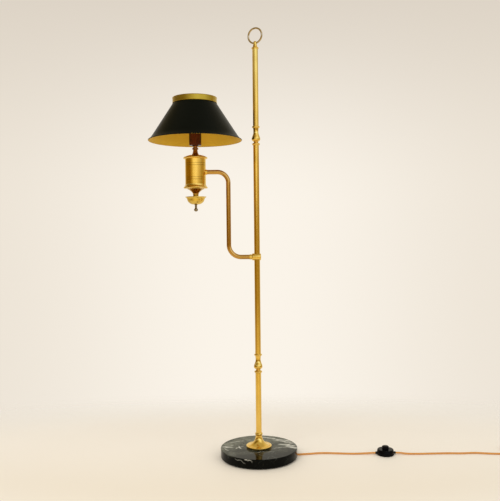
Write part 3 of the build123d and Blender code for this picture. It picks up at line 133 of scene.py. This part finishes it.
# ---- floor ----
FLOOR_SIDE, FLOOR_DROP = 6.0, 0.0004
# the floor's colours are painted light and shade: darker in front, paler behind and paler out to
# its edge
FLOOR_FRONT, FLOOR_BACK = (0.900, 0.815, 0.675), (0.995, 0.925, 0.815)
FLOOR_EDGE, FLOOR_MARKS = (1.0, 0.955, 0.880), (0.74, 0.66, 0.52)
FLOOR_DEPTH = (-0.45, 0.20)      # from the front's colour to the back's
FLOOR_REACH = (0.30, 0.80)       # from the middle's colour to the edge's
FADE_SHAPE = (0.36, 1.0, 0.0)    # the floor fades away in an oval that reaches further sideways
FADE_REACH = (0.42, 1.00)

# ---- brass: the font's turned lines ----
FONT_LINES = (-0.0265, -0.019, 0.024, 0.0315)   # heights above the arm's axis
FONT_BELOW = 0.043      # from the font's lower edge to the arm's axis
LINE_EDGE = (0.0006, 0.0018)    # half widths of a line: all dark, and where its darkening ends

# ---- marble ----
STONE_DARK = [
    (0.38, (0.0004, 0.0005, 0.0004)),
    (0.54, (0.0014, 0.0017, 0.0012)),
    (0.68, (0.012, 0.013, 0.009)),
]
# the top's grey green: the stone's own mottle with painted sheen in it
STONE_TOP_WITH_SHEEN = [
    (0.38, (0.020, 0.022, 0.015)),
    (0.50, (0.095, 0.098, 0.068)),
    (0.62, (0.225, 0.225, 0.165)),
]
# the top's painted sheen grows towards the back, from black to grey green
STONE_SHEEN_WAY = (-0.30, 0.95, 0.0)     # the way in which the top turns from black to grey green
STONE_SHEEN_SHIFT = (-0.115, 0.085)           # and from where to where it does
STONE_EDGE = (0.032, 0.0355)            # heights between the dark side and the top
STONE_WARP = 0.030      # how far noise bends the veins
VEIN_CORE, VEIN_WHOLE = 0.35, 0.6       # shares of width and of reach at full strength
VEINS = [
    # centre, heading, tilt, width, reach
    ((0.058, 0.092, 0.036), -26.0, 18.0, 0.0060, 0.075),
    ((0.092, 0.060, 0.036), -24.0, -10.0, 0.0050, 0.055),
    ((0.104, 0.018, 0.034), -20.0, 20.0, 0.0080, 0.040),
    ((0.116, -0.008, 0.036), -30.0, 10.0, 0.0105, 0.026),
    ((0.120, 0.034, 0.036), 35.0, 5.0, 0.0045, 0.026),
    ((0.076, -0.012, 0.036), 4.0, 0.0, 0.0018, 0.036),
    ((-0.114, 0.000, 0.036), -14.0, 0.0, 0.0046, 0.024),
    ((-0.108, 0.014, 0.036), 20.0, 0.0, 0.0026, 0.022),
    ((-0.118, -0.022, 0.036), -52.0, 0.0, 0.0022, 0.018),
    ((-0.068, -0.006, 0.036), -58.0, 0.0, 0.0026, 0.020),
    ((-0.070, -0.004, 0.036), 50.0, 0.0, 0.0022, 0.020),
    ((-0.085, 0.060, 0.036), 25.0, 0.0, 0.0018, 0.040),
    ((-0.066, -0.120, 0.024), -62.0, 52.0, 0.0018, 0.020),
    ((-0.040, -0.131, 0.027), -22.0, 42.0, 0.0020, 0.018),
    ((0.010, -0.060, 0.036), 8.0, 0.0, 0.0010, 0.050),
    ((0.136, 0.000, 0.018), 80.0, 60.0, 0.0050, 0.040),
]

# ---- camera ----
CAMERA_PLACE = (-0.0254, -2.3529, 0.798)
CAMERA_LENS, CAMERA_SENSOR = 46.97, 36.0
CAMERA_DOWN, CAMERA_ROLL = 1.215, 0.584     # degrees


# ---- node helpers ----
class Nodes:
    """Builds a node tree; an input is a value or another node's output."""

    def __init__(self, tree):
        self.tree = tree
        self.coords = self.add("ShaderNodeTexCoord").outputs

    def add(self, kind, inputs=None, **settings):
        made = self.tree.nodes.new(kind)
        for key, value in settings.items():
            setattr(made, key, value)
        for key, value in (inputs or {}).items():
            self.put(made.inputs[key], value)
        return made

    def put(self, socket, value):
        if isinstance(value, bpy.types.NodeSocket):
            self.tree.links.new(value, socket)
        elif socket.type == "RGBA" and len(value) == 3:
            socket.default_value = (*value, 1.0)
        else:
            socket.default_value = value

    def math(self, operation, *values):
        made = self.add("ShaderNodeMath", operation=operation)
        for place, value in enumerate(values):
            self.put(made.inputs[place], value)
        return made.outputs[0]

    def times(self, value, *others):
        for other in others:
            value = self.math("MULTIPLY", value, other)
        return value

    def flip(self, value):
        """What is left of 1."""
        return self.math("SUBTRACT", 1.0, value)

    def vector(self, operation, *values):
        """Vector maths: a vector, or the number that a dot product or a length is."""
        made = self.add("ShaderNodeVectorMath", dict(enumerate(values)), operation=operation)
        return made.outputs["Value" if operation in ("DOT_PRODUCT", "LENGTH") else "Vector"]

    def noise(self, scale, detail, rough=0.5, vector=None, distortion=0.0):
        vector = self.coords["Object"] if vector is None else vector
        return self.add("ShaderNodeTexNoise", {
            "Vector": vector, "Scale": scale, "Detail": detail, "Roughness": rough,
            "Distortion": distortion}).outputs["Fac"]

    def stretched(self, scale):
        made = self.add("ShaderNodeMapping", {"Vector": self.coords["Object"], "Scale": scale})
        return made.outputs[0]

    def coordinate(self, axis):
        return self.add("ShaderNodeSeparateXYZ", {0: self.coords["Object"]}).outputs[axis]

    def ramp(self, value, *stops):
        made = self.add("ShaderNodeValToRGB", {"Fac": value})
        elements = made.color_ramp.elements
        elements[0].position, elements[1].position = stops[0][0], stops[-1][0]
        for place, _ in stops[1:-1]:
            elements.new(place)
        for element, (_, colour) in zip(elements, stops):
            element.color = (*colour, 1.0)
        return made.outputs["Color"]

    def mix(self, factor, a, b):
        made = self.add("ShaderNodeMix", data_type="RGBA")
        for place, value in ((0, factor), (6, a), (7, b)):
            self.put(made.inputs[place], value)
        return made.outputs[2]

    def spread(self, value, low, high):
        """value, from 0 to 1, taken to the range low to high."""
        made = self.add("ShaderNodeMapRange", {"Value": value, "To Min": low, "To Max": high})
        return made.outputs[0]

    def step(self, value, low, high):
        """0 below low, 1 above high, and smooth between."""
        return self.add("ShaderNodeMapRange", {"Value": value, "From Min": low, "From Max": high},
                        interpolation_type="SMOOTHSTEP").outputs[0]


class Shader(Nodes):
    """One material's nodes."""

    def __init__(self, name):
        self.material = bpy.data.materials.new(name)
        self.material.use_nodes = True
        super().__init__(self.material.node_tree)
        self.surface = self.tree.nodes["Principled BSDF"]
        self.output = self.tree.nodes["Material Output"]

    def set(self, **inputs):
        for key, value in inputs.items():
            self.put(self.surface.inputs[key.replace("_", " ")], value)

    def bump(self, height, depth, strength):
        made = self.add("ShaderNodeBump", {
            "Height": height, "Distance": depth, "Strength": strength})
        self.put(self.surface.inputs["Normal"], made.outputs[0])


# ---- materials ----
def darker(colour, share):
    return tuple(share * part for part in colour)


def brass(name, clean, tarnish, rough, streaks, aged=0.4, turned_lines=()):
    """Polished brass that has aged: clouds of patina, fine polishing lines, a few small spots."""
    s = Shader(name)
    clouds = s.noise(11.0, 4.0, 0.55)
    lines = s.noise(1.0, 2.0, 0.5, s.stretched(streaks))
    spots = s.step(s.noise(190.0, 2.0, 0.5), 0.74, 0.80)
    patina = s.step(clouds, 0.35, 0.75)
    colour = s.mix(s.times(patina, aged), clean, tarnish)
    colour = s.mix(s.times(spots, patina, 0.35), colour, darker(tarnish, 0.45))
    # the brass is darker along the turned lines, patchy with the clouds
    for height in turned_lines:
        off = s.math("ABSOLUTE", s.math("SUBTRACT", s.coordinate("Z"), height))
        line_darkening = s.times(s.flip(s.step(off, *LINE_EDGE)), s.spread(clouds, 0.25, 0.65))
        colour = s.mix(line_darkening, colour, darker(tarnish, 0.35))
    wear = s.math("ADD", s.times(patina, 0.07), s.times(lines, 0.06))
    s.set(Base_Color=colour, Metallic=1.0, Roughness=s.math("ADD", wear, rough - 0.05))
    s.bump(s.math("ADD", lines, s.times(clouds, 0.4)), 0.00001, 0.08)
    return s.material


def inner_flex():
    """Braid of the flex inside the lamp, whose solids carry no weave of their own."""
    s = Shader("inner_braid")
    yarns = s.noise(1.0, 3.0, 0.6, s.stretched((420.0, 420.0, 160.0)))
    colour = s.ramp(yarns, (0.35, (0.16, 0.055, 0.012)), (0.55, (0.70, 0.30, 0.06)),
                    (0.75, (0.92, 0.46, 0.12)))
    s.set(Base_Color=colour, Roughness=s.spread(yarns, 0.8, 0.55))
    s.bump(yarns, 0.0003, 0.8)
    return s.material


def vein(s, warped, centre, heading, tilt, width, reach):
    """Mask of one pale vein: a bent sheet through the stone, that fades out beyond reach."""
    heading, tilt = radians(heading), radians(tilt)
    along = Vector((cos(heading), sin(heading), 0.0))
    across = Vector((-along.y * cos(tilt), along.x * cos(tilt), sin(tilt)))
    local = s.vector("SUBTRACT", warped, centre)
    off = s.math("ABSOLUTE", s.vector("DOT_PRODUCT", local, across))
    run = s.math("ABSOLUTE", s.vector("DOT_PRODUCT", local, along))
    near = s.flip(s.step(off, VEIN_CORE * width, width))
    return s.times(near, s.flip(s.step(run, VEIN_WHOLE * reach, reach)))


def marble():
    """Near-black green stone: clouds of grey, a net of hair veins, and a few broad pale veins. Its
    top is painted paler than its side, partly the stone's grey green and partly painted sheen, more
    so towards the back, and its veins are painted fainter on the side as painted shade.
    """
    s = Shader("marble")
    warp = s.add("ShaderNodeTexNoise", {"Vector": s.coords["Object"], "Scale": 26.0, "Detail": 5.0})
    shift = s.vector("SUBTRACT", warp.outputs["Color"], (0.5, 0.5, 0.5))
    shift = s.vector("MULTIPLY", shift, (STONE_WARP, STONE_WARP, STONE_WARP))
    warped = s.vector("ADD", s.coords["Object"], shift)
    grain = s.noise(95.0, 8.0, 0.7)
    clouds = s.noise(17.0, 7.0, 0.66, distortion=0.6)
    mottle = s.math("ADD", s.times(clouds, 0.70), s.times(grain, 0.30))
    dark = s.ramp(mottle, *STONE_DARK)
    light = s.ramp(mottle, *STONE_TOP_WITH_SHEEN)
    # the top is painted paler than the dark side: partly the stone's grey green, partly painted
    # sheen
    top_sheen_mask = s.step(s.coordinate("Z"), *STONE_EDGE)
    backwards = s.vector("DOT_PRODUCT", warped, STONE_SHEEN_WAY)
    body = s.mix(s.times(s.step(backwards, *STONE_SHEEN_SHIFT), top_sheen_mask), dark, light)
    cells = s.add("ShaderNodeTexVoronoi", {"Vector": warped, "Scale": 21.0},
                  feature="DISTANCE_TO_EDGE").outputs[0]
    hairs = s.times(s.flip(s.step(cells, 0.0, 0.035)), s.step(clouds, 0.46, 0.62))
    broken = s.step(s.noise(60.0, 6.0, 0.7), 0.36, 0.60)
    veins = 0.0
    for made_as in VEINS:
        veins = s.math("MAXIMUM", vein(s, warped, *made_as), veins)
    # the broad veins here and the hair veins below are painted fainter on the side: painted shade
    veins = s.times(veins, s.spread(broken, 0.45, 1.0), s.spread(top_sheen_mask, 0.28, 1.0))
    pale = s.mix(grain, (0.52, 0.51, 0.42), (0.86, 0.84, 0.74))
    colour = s.mix(s.times(hairs, s.spread(top_sheen_mask, 0.10, 0.35)), body, (0.20, 0.23, 0.20))
    colour = s.mix(veins, colour, pale)
    s.set(Base_Color=colour, Roughness=s.spread(grain, 0.06, 0.14), IOR=1.46)
    s.set(Specular_IOR_Level=0.08)
    s.bump(s.math("ADD", grain, s.times(veins, -0.6)), 0.00012, 0.25)
    return s.material


def shade_paint(x):
    """Satin black outside and brushed gold inside, where the surface faces the axis at x."""
    s = Shader("shade_paint")
    from_axis = s.vector("SUBTRACT", s.coords["Object"], (x, 0.0, 0.0))
    level = s.vector("MULTIPLY", from_axis, (1.0, 1.0, 0.0))
    inside = s.math("LESS_THAN", s.vector("DOT_PRODUCT", level, s.coords["Normal"]), 0.0)
    clouds = s.noise(9.0, 5.0, 0.6)
    fine = s.noise(700.0, 2.0, 0.5)
    black = s.mix(clouds, (0.0004, 0.0010, 0.0004), (0.0014, 0.0026, 0.0014))
    gold = s.mix(clouds, (0.60, 0.33, 0.018), (0.82, 0.52, 0.05))
    s.set(Base_Color=s.mix(inside, black, gold), Metallic=s.times(inside, 0.35),
          Roughness=s.math("ADD", s.times(inside, 0.12), s.spread(clouds, 0.30, 0.42)))
    s.set(Specular_IOR_Level=0.085)
    s.bump(s.math("ADD", fine, s.times(clouds, 2.0)), 0.00005, 0.4)
    return s.material


def moulded(name, dark, light, rough, grain, depth, coat=0.0, shine=0.5):
    """Moulded plastic, rubber or enamel with slight mottling and a fine surface."""
    s = Shader(name)
    clouds = s.noise(70.0, 5.0, 0.6)
    fine = s.noise(grain * 6, 3.0, 0.6)
    s.set(Base_Color=s.mix(clouds, dark, light), Roughness=s.spread(fine, rough * 0.8, rough * 1.2))
    s.set(Coat_Weight=coat, Coat_Roughness=0.08, Specular_IOR_Level=shine)
    s.bump(s.math("ADD", fine, clouds), depth, 0.4)
    return s.material


def bakelite():
    """Red-brown moulding with the darker swirls of its filler."""
    s = Shader("bakelite")
    swirl = s.noise(1.0, 6.0, 0.65, s.stretched((60.0, 60.0, 22.0)), distortion=1.2)
    colour = s.ramp(swirl, (0.32, (0.035, 0.008, 0.004)), (0.55, (0.115, 0.024, 0.006)),
                    (0.75, (0.21, 0.05, 0.01)))
    s.set(Base_Color=colour, Roughness=s.spread(swirl, 0.16, 0.30))
    s.set(Specular_IOR_Level=0.16)
    s.bump(s.noise(900.0, 2.0), 0.00003, 0.3)
    return s.material


def steel():
    s = Shader("plated_steel")
    lines = s.noise(1.0, 3.0, 0.6, s.stretched((500.0, 500.0, 60.0)))
    s.set(Base_Color=s.mix(lines, (0.40, 0.40, 0.38), (0.62, 0.62, 0.60)), Metallic=1.0,
          Roughness=s.spread(lines, 0.22, 0.42))
    s.bump(lines, 0.00004, 0.4)
    return s.material


def frosted_glass():
    s = Shader("bulb_glass")
    cloud = s.noise(240.0, 2.0)
    s.set(Base_Color=s.mix(cloud, (0.93, 0.92, 0.89), (0.98, 0.97, 0.95)),
          Roughness=s.spread(cloud, 0.30, 0.42))
    s.set(Transmission_Weight=0.75, IOR=1.45)
    s.bump(cloud, 0.00003, 0.4)
    return s.material


def felt():
    s = Shader("felt")
    fibres = s.noise(900.0, 6.0, 0.75)
    s.set(Base_Color=s.mix(fibres, (0.012, 0.022, 0.015), (0.045, 0.075, 0.05)), Roughness=0.95)
    s.set(Sheen_Weight=0.5, Sheen_Roughness=0.5)
    s.bump(fibres, 0.0004, 0.8)
    return s.material


def braid():
    """Woven sleeve: the weave attribute is 1 on top of a yarn and 0 in the gaps between them."""
    s = Shader("braid")
    weave = s.add("ShaderNodeAttribute", attribute_name="weave").outputs["Color"]
    fibre = s.noise(2600.0, 3.0, 0.7)
    shades = s.noise(45.0, 3.0, 0.6)
    yarn = s.mix(s.times(shades, 0.8), (0.86, 0.34, 0.060), (0.98, 0.52, 0.13))
    yarn = s.mix(s.times(fibre, 0.35), yarn, (0.55, 0.20, 0.04))
    # the gaps between yarns, and the yarns' edges where they dip under, are painted dark: painted
    # shade
    s.set(Base_Color=s.mix(weave, (0.16, 0.055, 0.012), yarn), Roughness=s.spread(fibre, 0.55, 0.8))
    s.set(Sheen_Weight=0.35, Sheen_Roughness=0.4)
    s.bump(fibre, 0.00012, 0.5)
    return s.material


# polishing lines: their scale along x, y and z
DRAWN, TURNED_ROUND, SPUN_ROUND = (900.0, 900.0, 30.0), (18.0, 18.0, 520.0), (12.0, 12.0, 420.0)

POLISHED = brass("brass", (0.88, 0.59, 0.14), (0.58, 0.34, 0.05), 0.16, DRAWN)
TURNED = brass("brass_turned", (0.90, 0.61, 0.15), (0.62, 0.37, 0.06), 0.15, TURNED_ROUND)
SPUN = brass("brass_spun", (0.90, 0.61, 0.145), (0.62, 0.37, 0.06), 0.17, SPUN_ROUND)
# darker brass for the shade's band: painted shade for its dimmer reflection
BAND_BRASS_SHADED = brass("brass_band_shaded", (0.50, 0.34, 0.040), (0.34, 0.21, 0.015), 0.22, SPUN_ROUND)
FONT_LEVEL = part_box("font_body")[0].z + FONT_BELOW
DRUM = brass("brass_drum", (0.96, 0.65, 0.15), (0.66, 0.40, 0.06), 0.13, SPUN_ROUND,
             turned_lines=[FONT_LEVEL + height for height in FONT_LINES])
BOWL = brass("brass_bowl", (0.86, 0.585, 0.12), (0.38, 0.235, 0.03), 0.15, SPUN_ROUND, aged=0.6)
# darker, redder brass for the arm, with polishing lines in no one direction: its darkness is
# painted shade
ARM_BRASS_SHADED = brass("brass_arm_shaded", (0.60, 0.34, 0.09), (0.38, 0.195, 0.03), 0.17, (900.0, 900.0, 900.0))
COPPERY = brass("brass_coppery", (0.64, 0.41, 0.10), (0.42, 0.23, 0.04), 0.20, TURNED_ROUND)
BROWNED = brass("brass_browned", (0.36, 0.17, 0.055), (0.20, 0.07, 0.015), 0.22, TURNED_ROUND)
DARKENED = brass("brass_darkened", (0.58, 0.45, 0.27), (0.30, 0.21, 0.10), 0.18, (40.0, 40.0, 40.0))
DULL = brass("brass_dull", (0.34, 0.27, 0.17), (0.16, 0.11, 0.06), 0.24, (60.0, 60.0, 200.0))
STEEL = steel()
RUBBER = moulded(
    "black_rubber", (0.006, 0.006, 0.006), (0.018, 0.018, 0.018), 0.62, 300.0, 0.00008, shine=0.25)
PLASTIC = moulded(
    "black_plastic", (0.0012, 0.0010, 0.0013), (0.0035, 0.0030, 0.0038), 0.24, 420.0, 0.00003,
    shine=0.06)
PORCELAIN = moulded(
    "porcelain", (0.74, 0.71, 0.65), (0.84, 0.82, 0.77), 0.18, 200.0, 0.00003, coat=0.6)
BRAID = braid()
HEAD_X = (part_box("font_body")[0].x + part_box("font_body")[1].x) / 2

FINISHES = {
    marble(): ["base_slab"],
    felt(): ["base_pad"],
    SPUN: ["base_flange"],
    BOWL: ["drip_bowl"],
    DRUM: ["font_body"],
    ARM_BRASS_SHADED: ["arm_tube"],
    BAND_BRASS_SHADED: ["shade_band"],
    TURNED: [
        "flange_collar", "lower_knop", "upper_knop", "top_cap", "swivel_knuckle", "arm_ferrules",
        "font_lid", "font_foot", "swivel_washers", "swivel_spigot", "swivel_socket",
        "holder_contacts", "switch_terminals", "plug_pins",
    ],
    POLISHED: ["lower_tube", "lower_mid_tube", "upper_mid_tube", "upper_tube"],
    COPPERY: ["font_stem"],
    BROWNED: ["holder_neck"],
    DARKENED: ["ring_handle"],
    DULL: ["finial_knob"],
    STEEL: [
        "base_washer", "base_nut", "base_nipple", "stop_screw", "arm_nut", "lamp_rod",
        "shade_spider", "switch_spring", "switch_screws", "bulb_cap",
    ],
    bakelite(): ["holder_cap", "holder_skirt", "shade_ring"],
    PORCELAIN: ["holder_insert", "switch_blocks"],
    shade_paint(HEAD_X): ["shade_cone"],
    frosted_glass(): ["bulb_glass"],
    PLASTIC: ["cord_clip", "switch_floor", "switch_cover", "switch_button", "plug_body"],
    RUBBER: ["switch_pads", "switch_sleeves", "plug_relief"],
    inner_flex(): ["pole_flex", "arm_flex"],
}


def dress(piece, material):
    piece.data.materials.clear()
    piece.data.materials.append(material)


for material, names in FINISHES.items():
    for name in names:
        dress(nodes[name], material)


# ---- lead: its pieces ----
def smooth(share):
    share = min(1.0, max(0.0, share))
    return share * share * (3 - 2 * share)


def coil_route():
    """Three turns inwards on the floor, up at the innermost one, and three turns out on top."""
    step = tau / POINTS_PER_TURN
    cx, cy = COIL_CENTRE
    points = []
    for turn in range(2 * COIL_TURNS):
        upper = turn >= COIL_TURNS
        column = 2 * COIL_TURNS - 1 - turn if upper else turn
        climbs = turn == COIL_TURNS - 1
        for place in range(POINTS_PER_TURN):
            share = (place + 0.5) / POINTS_PER_TURN
            shift = (share - SHIFT_FROM) / (1 - SHIFT_FROM)
            radius = COIL_R - column * CORD_D
            height = FLOOR + TIE_LIFT + upper * CORD_D
            if climbs:
                height += CORD_D * smooth(shift)
                radius -= CLIMB_BULGE * sin(pi * max(0.0, shift))
            else:
                radius += CORD_D * smooth(shift) * (1 if upper else -1)
            angle = step * (place + 0.5) - pi / 2
            radius /= cos(step / 2)
            points.append((cx + radius * cos(angle), cy + radius * sin(angle), height))
    return points


def tail_route(plug_x, level):
    """From the coil's last turn, one flex further out, to the plug's axis."""
    y = SWITCH_ROUTE[-1][1]
    first, *others = TAIL_BEFORE
    aside = (plug_x - first, y - TAIL_ASIDE, level)
    return [aside] + [(plug_x - before, y, level) for before in others]


def spline_points(name, route):
    """Points along the smooth line that has the route as its control points, a ring step apart."""
    curve = bpy.data.curves.new(name + "_line", "CURVE")
    curve.dimensions = "3D"
    curve.resolution_u = LINE_FINENESS
    line = curve.splines.new("NURBS")
    line.points.add(len(route) - 1)
    for point, place in zip(line.points, route):
        point.co = (*place, 1.0)
    line.order_u = 3
    line.use_endpoint_u = True
    holder = bpy.data.objects.new(name + "_line", curve)
    mesh = bpy.data.meshes.new_from_object(holder)
    fine = [v.co.copy() for v in mesh.vertices]
    bpy.data.meshes.remove(mesh)
    bpy.data.objects.remove(holder)
    bpy.data.curves.remove(curve)
    return evenly(fine, RING_STEP)


def evenly(fine, step):
    """The same line with its points a step apart."""
    reach = [0.0]
    for a, b in zip(fine, fine[1:]):
        reach.append(reach[-1] + (b - a).length)
    count = max(2, round(reach[-1] / step))
    spaced, at = [], 0
    for place in range(count + 1):
        want = reach[-1] * place / count
        while at < len(fine) - 2 and reach[at + 1] < want:
            at += 1
        span = reach[at + 1] - reach[at]
        spaced.append(fine[at].lerp(fine[at + 1], (want - reach[at]) / span if span > 0 else 0.0))
    return spaced


def woven(run, turn):
    """Height of the weave, from 0 in a gap to 1 on a yarn: two sets of yarns, over and under."""
    left = YARNS * (turn + run / BRAID_PITCH)
    right = YARNS * (turn - run / BRAID_PITCH)
    over = (int(left // 1) + int(right // 1)) % 2 == 0
    across = (left if over else right) % 1.0
    along = (right if over else left) % 1.0
    crown = 1 - (2 * across - 1) ** 4
    return crown * (1 - YARN_DIP + YARN_DIP * sin(pi * along))


def braided(name, route):
    """A woven tube round the route's smooth line, with its yarns in relief."""
    line = spline_points(name, route)
    side = None
    verts, heights = [], []
    for place, point in enumerate(line):
        ahead = (line[min(place + 1, len(line) - 1)] - line[max(place - 1, 0)]).normalized()
        side = Vector((0, 0, 1)) if side is None else side
        side = (side - ahead * side.dot(ahead)).normalized()
        third = ahead.cross(side)
        for spoke in range(RING_POINTS):
            turn = spoke / RING_POINTS
            height = woven(place * RING_STEP, turn)
            radius = CORD_R - BRAID_RELIEF * (1 - height)
            verts.append(point + side * radius * cos(tau * turn) + third * radius * sin(tau * turn))
            heights.append(height)
    faces = []
    for place in range(len(line) - 1):
        for spoke in range(RING_POINTS):
            a, b = place * RING_POINTS + spoke, place * RING_POINTS + (spoke + 1) % RING_POINTS
            faces.append((a, b, b + RING_POINTS, a + RING_POINTS))
    last = (len(line) - 1) * RING_POINTS
    faces.append(tuple(reversed(range(RING_POINTS))))
    faces.append(tuple(last + spoke for spoke in range(RING_POINTS)))
    piece = new_piece(name, verts, faces, BRAID)
    weave = piece.data.attributes.new("weave", "FLOAT_COLOR", "POINT")
    for item, height in zip(weave.data, heights):
        item.color = (height, height, height, 1.0)
    return piece, line


def new_piece(name, verts, faces, material, smooth_faces=True):
    mesh = bpy.data.meshes.new(name)
    mesh.from_pydata([tuple(v) for v in verts], [], faces)
    mesh.update()
    for face in mesh.polygons:
        face.use_smooth = smooth_faces
    piece = bpy.data.objects.new(name, mesh)
    bpy.context.scene.collection.objects.link(piece)
    mesh.materials.append(material)
    return piece


def coil_tie():
    """Flat strip round the coil's six strands, at the side away from the ends."""
    cx, cy = COIL_CENTRE
    middle = cy + COIL_R - CORD_D
    half = COIL_TURNS / 2 * CORD_D + TIE_T
    low, high = TIE_BELOW, TIE_LIFT + 2 * CORD_D + TIE_T
    corners = [(half, high), (-half, high), (-half, low), (half, low)]
    loop = []
    for quarter, (y, z) in enumerate(corners):
        inset_y = y - TIE_CORNER if y > 0 else y + TIE_CORNER
        inset_z = z - TIE_CORNER if z == high else z + TIE_CORNER
        for step in range(CORNER_STEPS + 1):
            angle = (quarter + step / CORNER_STEPS) * pi / 2
            loop.append(((inset_y, inset_z), (cos(angle), sin(angle))))
    verts, faces = [], []
    for (y, z), (ny, nz) in loop:
        for reach in (TIE_CORNER, TIE_CORNER - TIE_T):
            for x in (-TIE_W / 2, TIE_W / 2):
                verts.append((cx + x, middle + y + ny * reach, z + nz * reach))
    count = len(loop)
    for place in range(count):
        a, b = 4 * place, 4 * ((place + 1) % count)
        faces += [(a, b, b + 1, a + 1), (a + 2, a + 3, b + 3, b + 2)]
        faces += [(a, a + 2, b + 2, b), (a + 1, b + 1, b + 3, a + 3)]
    return new_piece("coil_tie", verts, faces, RUBBER)


plug_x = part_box("plug_body")[0].x
plug_level = FLOOR + CORD_D
base_cord, base_line = braided("base_lead", BASE_ROUTE)
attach(base_cord, "stand")
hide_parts("cord_base_run")
tie = coil_tie()
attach(tie, "stand")
whole_route = SWITCH_ROUTE + coil_route() + tail_route(plug_x, plug_level)
switch_cord, switch_line = braided("switch_lead", whole_route)
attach(switch_cord, "stand")
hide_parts("cord_switch_run", "cord_coil")


# ---- floor, light and camera ----
def floor():
    s = Shader("floor")
    away = s.vector("LENGTH", s.vector("MULTIPLY", s.coords["Object"], FADE_SHAPE))
    # painted shading of the floor, front to back and then out to the edge
    tone = s.mix(s.step(s.coordinate("Y"), *FLOOR_DEPTH), FLOOR_FRONT, FLOOR_BACK)
    tone = s.mix(s.step(away, *FLOOR_REACH), tone, FLOOR_EDGE)
    marks = s.times(s.noise(3.0, 4.0, 0.6), 0.10)
    s.set(Base_Color=s.mix(marks, tone, FLOOR_MARKS), Roughness=0.55)
    s.set(Specular_IOR_Level=0.15)
    clear = s.add("ShaderNodeBsdfTransparent").outputs[0]
    whole = s.add(
        "ShaderNodeMixShader", {0: s.step(away, *FADE_REACH), 1: s.surface.outputs[0], 2: clear})
    s.put(s.output.inputs["Surface"], whole.outputs[0])
    side = FLOOR_SIDE
    corners = [(-side, -side, 0), (side, -side, 0), (side, side, 0), (-side, side, 0)]
    piece = new_piece("floor", corners, [(0, 1, 2, 3)], s.material, False)
    piece.location.z = -FLOOR_DROP


def room_colour(n, split):
    """What gloss sees: the rings, one above the other, with the lamp's between two heights."""
    turn = n.math("ARCTAN2", split["X"], n.times(split["Y"], -1.0))
    around = n.math("MULTIPLY_ADD", turn, 1 / tau, 0.5)
    up = split["Z"]
    room = n.ramp(around, *FLOOR_RING)
    for reach, ring in ((ROOM_FROM, ROOM_RING), (WINDOW_FROM, WINDOW_RING), (HIGH_FROM, HIGH_RING)):
        room = n.mix(n.step(up, *reach), room, n.ramp(around, *ring))
    by_lamp = n.times(n.step(up, *LAMP_FROM), n.flip(n.step(up, *LAMP_TO)))
    room = n.mix(by_lamp, room, n.ramp(around, *LAMP_RING))
    return n.mix(n.step(up, *CEILING_FROM), room, CEILING)


def studio():
    """World: a pale wall for the eye, the room for gloss, and plain light for all else."""
    world = bpy.data.worlds.new("studio")
    bpy.context.scene.world = world
    world.use_nodes = True
    world.node_tree.nodes.clear()
    world.cycles.sampling_method = "NONE"    # its colour depends on the kind of ray that meets it
    n = Nodes(world.node_tree)
    split = n.add("ShaderNodeSeparateXYZ", {0: n.coords["Generated"]}).outputs
    wall = n.mix(n.step(n.math("ABSOLUTE", split["X"]), *WALL_SIDES), WALL_PALE, WALL_EDGE)
    wall = n.mix(n.step(split["Z"], *WALL_RISE), wall, WALL_TOP)
    path = n.add("ShaderNodeLightPath").outputs
    shown = n.mix(path["Is Camera Ray"], room_colour(n, split), wall)
    sharp = n.math("MAXIMUM", path["Is Camera Ray"], path["Is Glossy Ray"])
    sharp = n.math("MAXIMUM", sharp, path["Is Transmission Ray"])
    glow = n.add("ShaderNodeBackground", {
        "Color": n.mix(sharp, FILL_COLOUR, shown), "Strength": n.spread(sharp, FILL_LEVEL, 1.0)})
    n.add("ShaderNodeOutputWorld", {"Surface": glow.outputs[0]})


def softbox(name, place, aim, size, power, colour):
    light = bpy.data.lights.new(name, "AREA")
    light.shape = "RECTANGLE"
    light.size, light.size_y = size
    light.energy = power
    light.color = colour
    holder = bpy.data.objects.new(name, light)
    bpy.context.scene.collection.objects.link(holder)
    holder.location = place
    holder.rotation_mode = "QUATERNION"
    holder.rotation_quaternion = (Vector(aim) - Vector(place)).to_track_quat("-Z", "Y")
    holder.visible_glossy = False


def camera():
    data = bpy.data.cameras.new("camera")
    data.lens = CAMERA_LENS
    data.sensor_width = CAMERA_SENSOR
    holder = bpy.data.objects.new("camera", data)
    bpy.context.scene.collection.objects.link(holder)
    holder.matrix_world = (
        Matrix.Translation(CAMERA_PLACE) @ Matrix.Rotation(radians(90 - CAMERA_DOWN), 4, "X")
        @ Matrix.Rotation(radians(-CAMERA_ROLL), 4, "Z")
    )
    bpy.context.scene.camera = holder


floor()
studio()
for made_as in SOFTBOXES:
    softbox(*made_as)
camera()
bpy.context.scene.view_settings.view_transform = "Standard"
